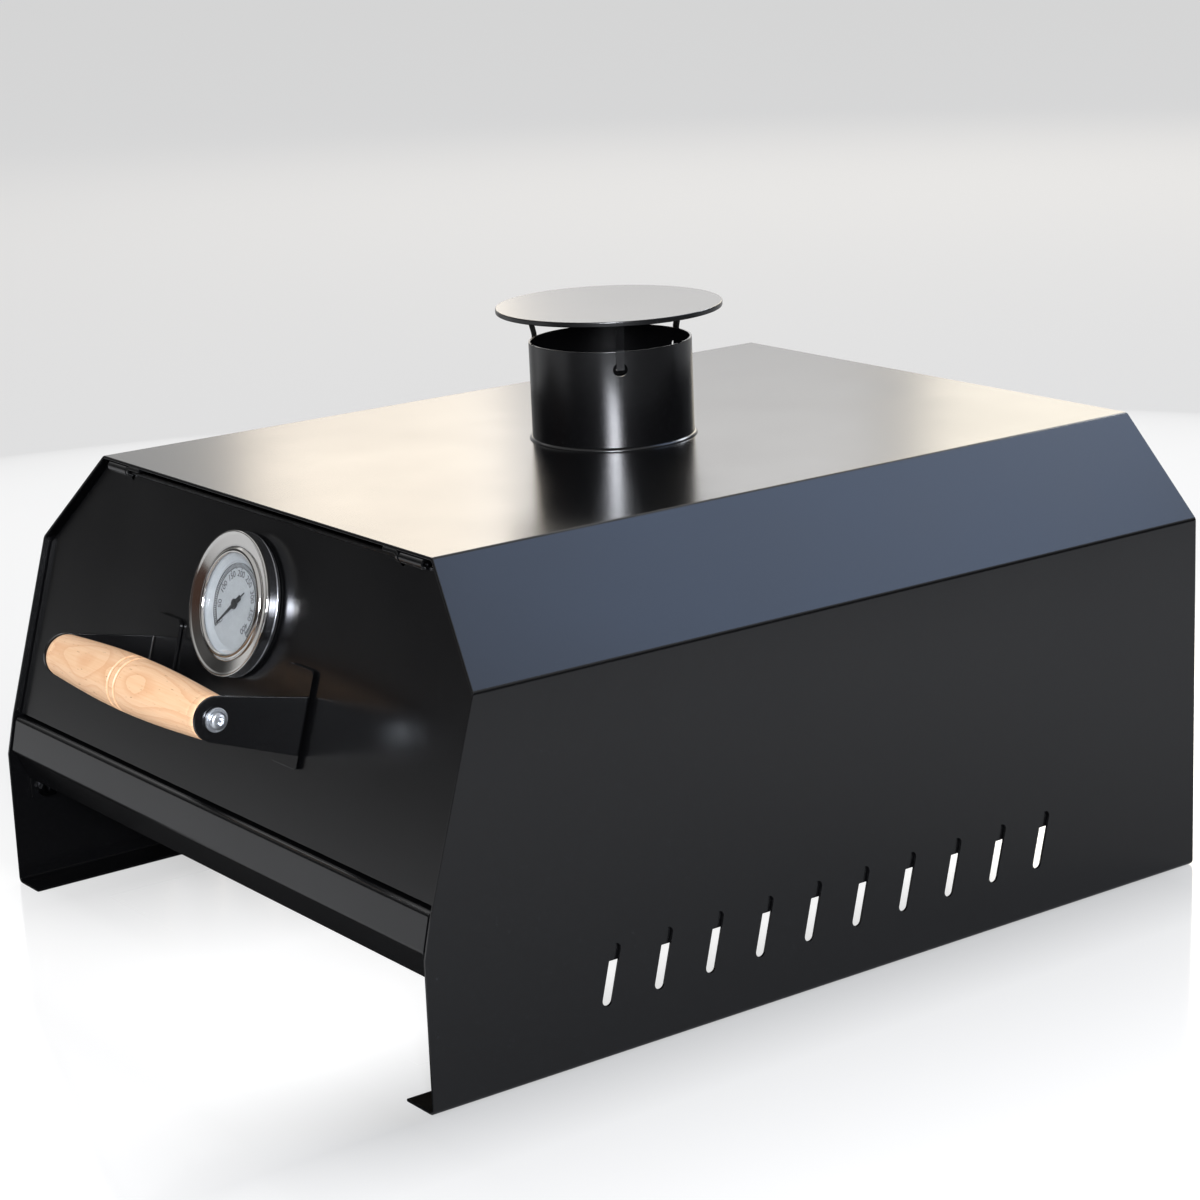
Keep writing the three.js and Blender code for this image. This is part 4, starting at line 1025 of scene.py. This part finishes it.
def studio_floor(half):
    """A white floor, glossy enough to mirror the oven a little. Its glow and its tone carry painted
    shadow, painted reflection and painted light round and under the oven.
    """
    mesh = bpy.data.meshes.new("studio_floor")
    corners = [(-half, -half, 0), (half, -half, 0), (half, half, 0), (-half, half, 0)]
    mesh.from_pydata(corners, [], [(0, 1, 2, 3)])
    floor = link_piece("studio_floor", mesh)
    floor.location.z = -FLOOR_DROP
    material, add, place = new_material("white_studio_floor")
    off_centre = add("VectorMath:LENGTH", place)
    across, along, _ = add("SeparateXYZ", place).outputs
    reach = add("Math:MAXIMUM", add("Math:ABSOLUTE", across),
                add("Math:MULTIPLY", add("Math:ABSOLUTE", along), WIDTH_PER_LENGTH))

    # Beside the oven the floor's glow is painted darker towards the oven's side: painted shadow and
    # reflection of the oven
    beside = add("Math:ADD", add("MapRange", across, 0.175, 0.225, 0.42, 0.65),
                 add("MapRange", across, 0.225, 0.33, 0.0, 0.14))
    past_ends = add("MapRange", add("Math:ABSOLUTE", along), 0.20, 0.34)
    beside = add("Mix", past_ends, beside, 0.79)
    # Under the oven the floor's glow is raised, painted light against the oven's own shadow, and it
    # is painted darker towards the left foot and the rear: painted shade
    under_oven_glow = add("MapRange", along, -0.26, -0.19, 0.79, 0.90)
    foot_shade = patch(add, (across, -0.02, -0.14), (along, -0.24, -0.18, 0.0, 0.30))
    rear_shade = patch(add, (across, 0.06, -0.05), (along, -0.18, -0.12, 0.0, 0.07))
    under = add("Math:SUBTRACT", under_oven_glow, add("Math:ADD", foot_shade, rear_shade))
    level = add("Mix", add("MapRange", across, 0.10, 0.175), under, beside)
    skin = add("BsdfPrincipled", inputs={
        "Base Color": (0.26, 0.26, 0.26, 1), "IOR": 1.5,
        "Roughness": add("MapRange", reach, 0.12, 0.165, 0.32, 0.08),
        "Specular IOR Level": add("MapRange", off_centre, 0.55, 1.1, 0.5, 0.0)})
    bright = add("AddShader", add("Emission", colour("#ffffff"), level), skin)

    # What polish and gloss show of the floor is painted light and shade: paler in front and behind,
    # darker near the oven's sides, painted shade under the oven and before its left corner, and
    # painted dark to the right and in front, for the flue
    mirrored = add("Math:ADD", add("MapRange", across, 0.2, 0.75, 0.42, 0.70),
                   add("MapRange", along, -0.2, -0.32, 0.0, 0.5))
    mirrored = add("Math:ADD", mirrored, add("MapRange", along, 0.1, 0.4, 0.0, 0.12))
    outside = add("Math:GREATER_THAN", reach, DARK_HALF_WIDTH)
    left_front_shade = patch(add, (along, -0.32, -0.27), (along, -0.08, -0.13), (across, -0.14, -0.16),
                       (across, -0.42, -0.34))
    outside = add("Math:SUBTRACT", outside, add("Math:MULTIPLY", outside, left_front_shade))
    front = patch(add, (along, -0.35, -0.6), (across, -0.35, -0.1))
    dark = add("Math:MAXIMUM", front, add("MapRange", across, 0.66, 0.80))
    mirrored = add("Math:MULTIPLY", add("Math:MINIMUM", mirrored, 0.95),
                   add("MapRange", outside, 0.0, 1.0, 0.12, 1.0))
    mirrored = add("Math:MULTIPLY", mirrored, add("MapRange", dark, 0.0, 1.0, 1.0, 0.25))
    plain = add("BsdfDiffuse", add("CombineXYZ", mirrored, mirrored, mirrored))
    add("OutputMaterial", add("MixShader", add("LightPath").outputs["Is Camera Ray"], plain,
                              bright))
    mesh.materials.append(material)


def studio_world():
    """White round the camera's view. Metal and gloss see a dim room: a pale rear wall, a paler
    left wall, a soft ceiling and a brown corner in front."""
    world = bpy.data.worlds.new("studio_world")
    bpy.context.scene.world = world
    world.use_nodes = True
    world.node_tree.nodes.clear()
    add = partial(add_node, world.node_tree)
    path = add("LightPath").outputs
    way = add("TexCoord").outputs["Generated"]
    height = add("SeparateXYZ", way).outputs["Z"]

    def wall(compass, edge, full, level):
        """A wall's light: it starts and is full this many degrees from its middle."""
        facing = add("VectorMath:DOT_PRODUCT", way, (*polar(1.0, math.radians(compass)), 0.0))
        return add("MapRange", facing, math.cos(math.radians(edge)),
                   math.cos(math.radians(full)), 0.0, level)

    low_band = patch(add, (height, -0.12, 0.0), (height, 0.34, 0.2))
    room = wall(141, 42, 15, 0.95)
    for light in (wall(180, 28, 12, 0.24),
                  add("MapRange", height, 0.3, 0.6, 0.045, 0.62),
                  wall(-117, 24, 12, 0.12),
                  add("Math:MULTIPLY", low_band, wall(-171, 15, 7, 0.45))):
        room = add("Math:ADD", room, light)
    room_tone = add("Mix:RGBA", wall(-117, 24, 12, 1.0), colour("#ffffff"), colour("#b48a78"))
    mirrored = add("Math:MAXIMUM", path["Is Glossy Ray"], path["Is Transmission Ray"])
    level = add("Mix", path["Is Camera Ray"], add("Mix", mirrored, 0.5, room), 0.985)
    tone = add("Mix:RGBA", mirrored, colour("#ffffff"), room_tone)
    add("OutputWorld", add("Background", tone, level))


def studio_lamp(name, compass, elevation, width, height, radiance, reach, lights_matt):
    """A rectangular lamp that faces the oven and that the camera doesn't see."""
    flat, rise = polar(1.0, math.radians(elevation))
    way = Vector((*polar(flat, math.radians(compass)), rise))
    strongest = max(radiance)
    lamp = bpy.data.lights.new(name, "AREA")
    lamp.shape = "RECTANGLE"
    lamp.size, lamp.size_y = width, height
    lamp.energy = POWER_PER_RADIANCE * width * height * strongest
    lamp.color = [value / strongest for value in radiance]
    stand = bpy.data.objects.new(name, lamp)
    stand.location = LAMP_AIM + way * reach
    stand.rotation_euler = way.to_track_quat("Z", "Y").to_euler()
    stand.visible_camera = False
    stand.visible_diffuse = lights_matt
    bpy.context.scene.collection.objects.link(stand)


class OVEN_OT_studio(bpy.types.Operator):
    """Sets up the white floor, the soft lamps, the surroundings and the camera"""
    bl_idname = "oven.studio"
    bl_label = "Studio"

    def execute(self, context):
        settings = context.scene.oven_studio
        studio_floor(settings.floor_half)
        studio_world()
        for lamps, lights_matt in ((LAMPS, True), (STRIPS, False)):
            for lamp in lamps:
                studio_lamp(*lamp, settings.lamp_reach, lights_matt)
        view = bpy.data.cameras.new("camera")
        view.lens = settings.lens
        view.sensor_width = 36
        view.clip_end = 100
        camera = bpy.data.objects.new("camera", view)
        camera.matrix_world = Matrix.Translation(CAMERA_PLACE) @ Matrix(
            (CAMERA_RIGHT, CAMERA_UP, CAMERA_BACK)).transposed().to_4x4()
        context.scene.collection.objects.link(camera)
        context.scene.camera = camera
        context.scene.view_settings.view_transform = "Standard"
        return {"FINISHED"}


# ---------------- panel


class OVEN_PT_panel(bpy.types.Panel):
    """Shows the oven's settings, and a button for each step"""
    bl_idname = "OVEN_PT_panel"
    bl_label = "Pizza oven"
    bl_space_type = "VIEW_3D"
    bl_region_type = "UI"
    bl_category = "Pizza oven"

    def draw(self, context):
        for group_name, group in SETTINGS:
            box = self.layout.box()
            for name in group.__annotations__:
                box.prop(getattr(context.scene, group_name), name)
        for operator in OPERATORS:
            self.layout.operator(operator.bl_idname)


OPERATORS = (OVEN_OT_studio, OVEN_OT_hood, OVEN_OT_tray, OVEN_OT_door, OVEN_OT_flue,
             OVEN_OT_grip, OVEN_OT_bolts, OVEN_OT_gauge, OVEN_OT_pointer, OVEN_OT_scale,
             OVEN_OT_stone, OVEN_OT_fasteners)
SETTINGS = (("oven_sheet", OvenSheetSettings), ("oven_grip", OvenGripSettings),
            ("oven_dial", OvenDialSettings), ("oven_studio", OvenStudioSettings))


def register():
    for name, group in SETTINGS:
        bpy.utils.register_class(group)
        setattr(bpy.types.Scene, name, PointerProperty(type=group))
    for kind in (*OPERATORS, OVEN_PT_panel):
        bpy.utils.register_class(kind)


def unregister():
    for kind in (OVEN_PT_panel, *reversed(OPERATORS)):
        bpy.utils.unregister_class(kind)
    for name, group in reversed(SETTINGS):
        delattr(bpy.types.Scene, name)
        bpy.utils.unregister_class(group)


def main():
    register()
    for operator in OPERATORS:
        getattr(bpy.ops.oven, operator.bl_idname.removeprefix("oven."))()


if __name__ == "__main__":
    main()
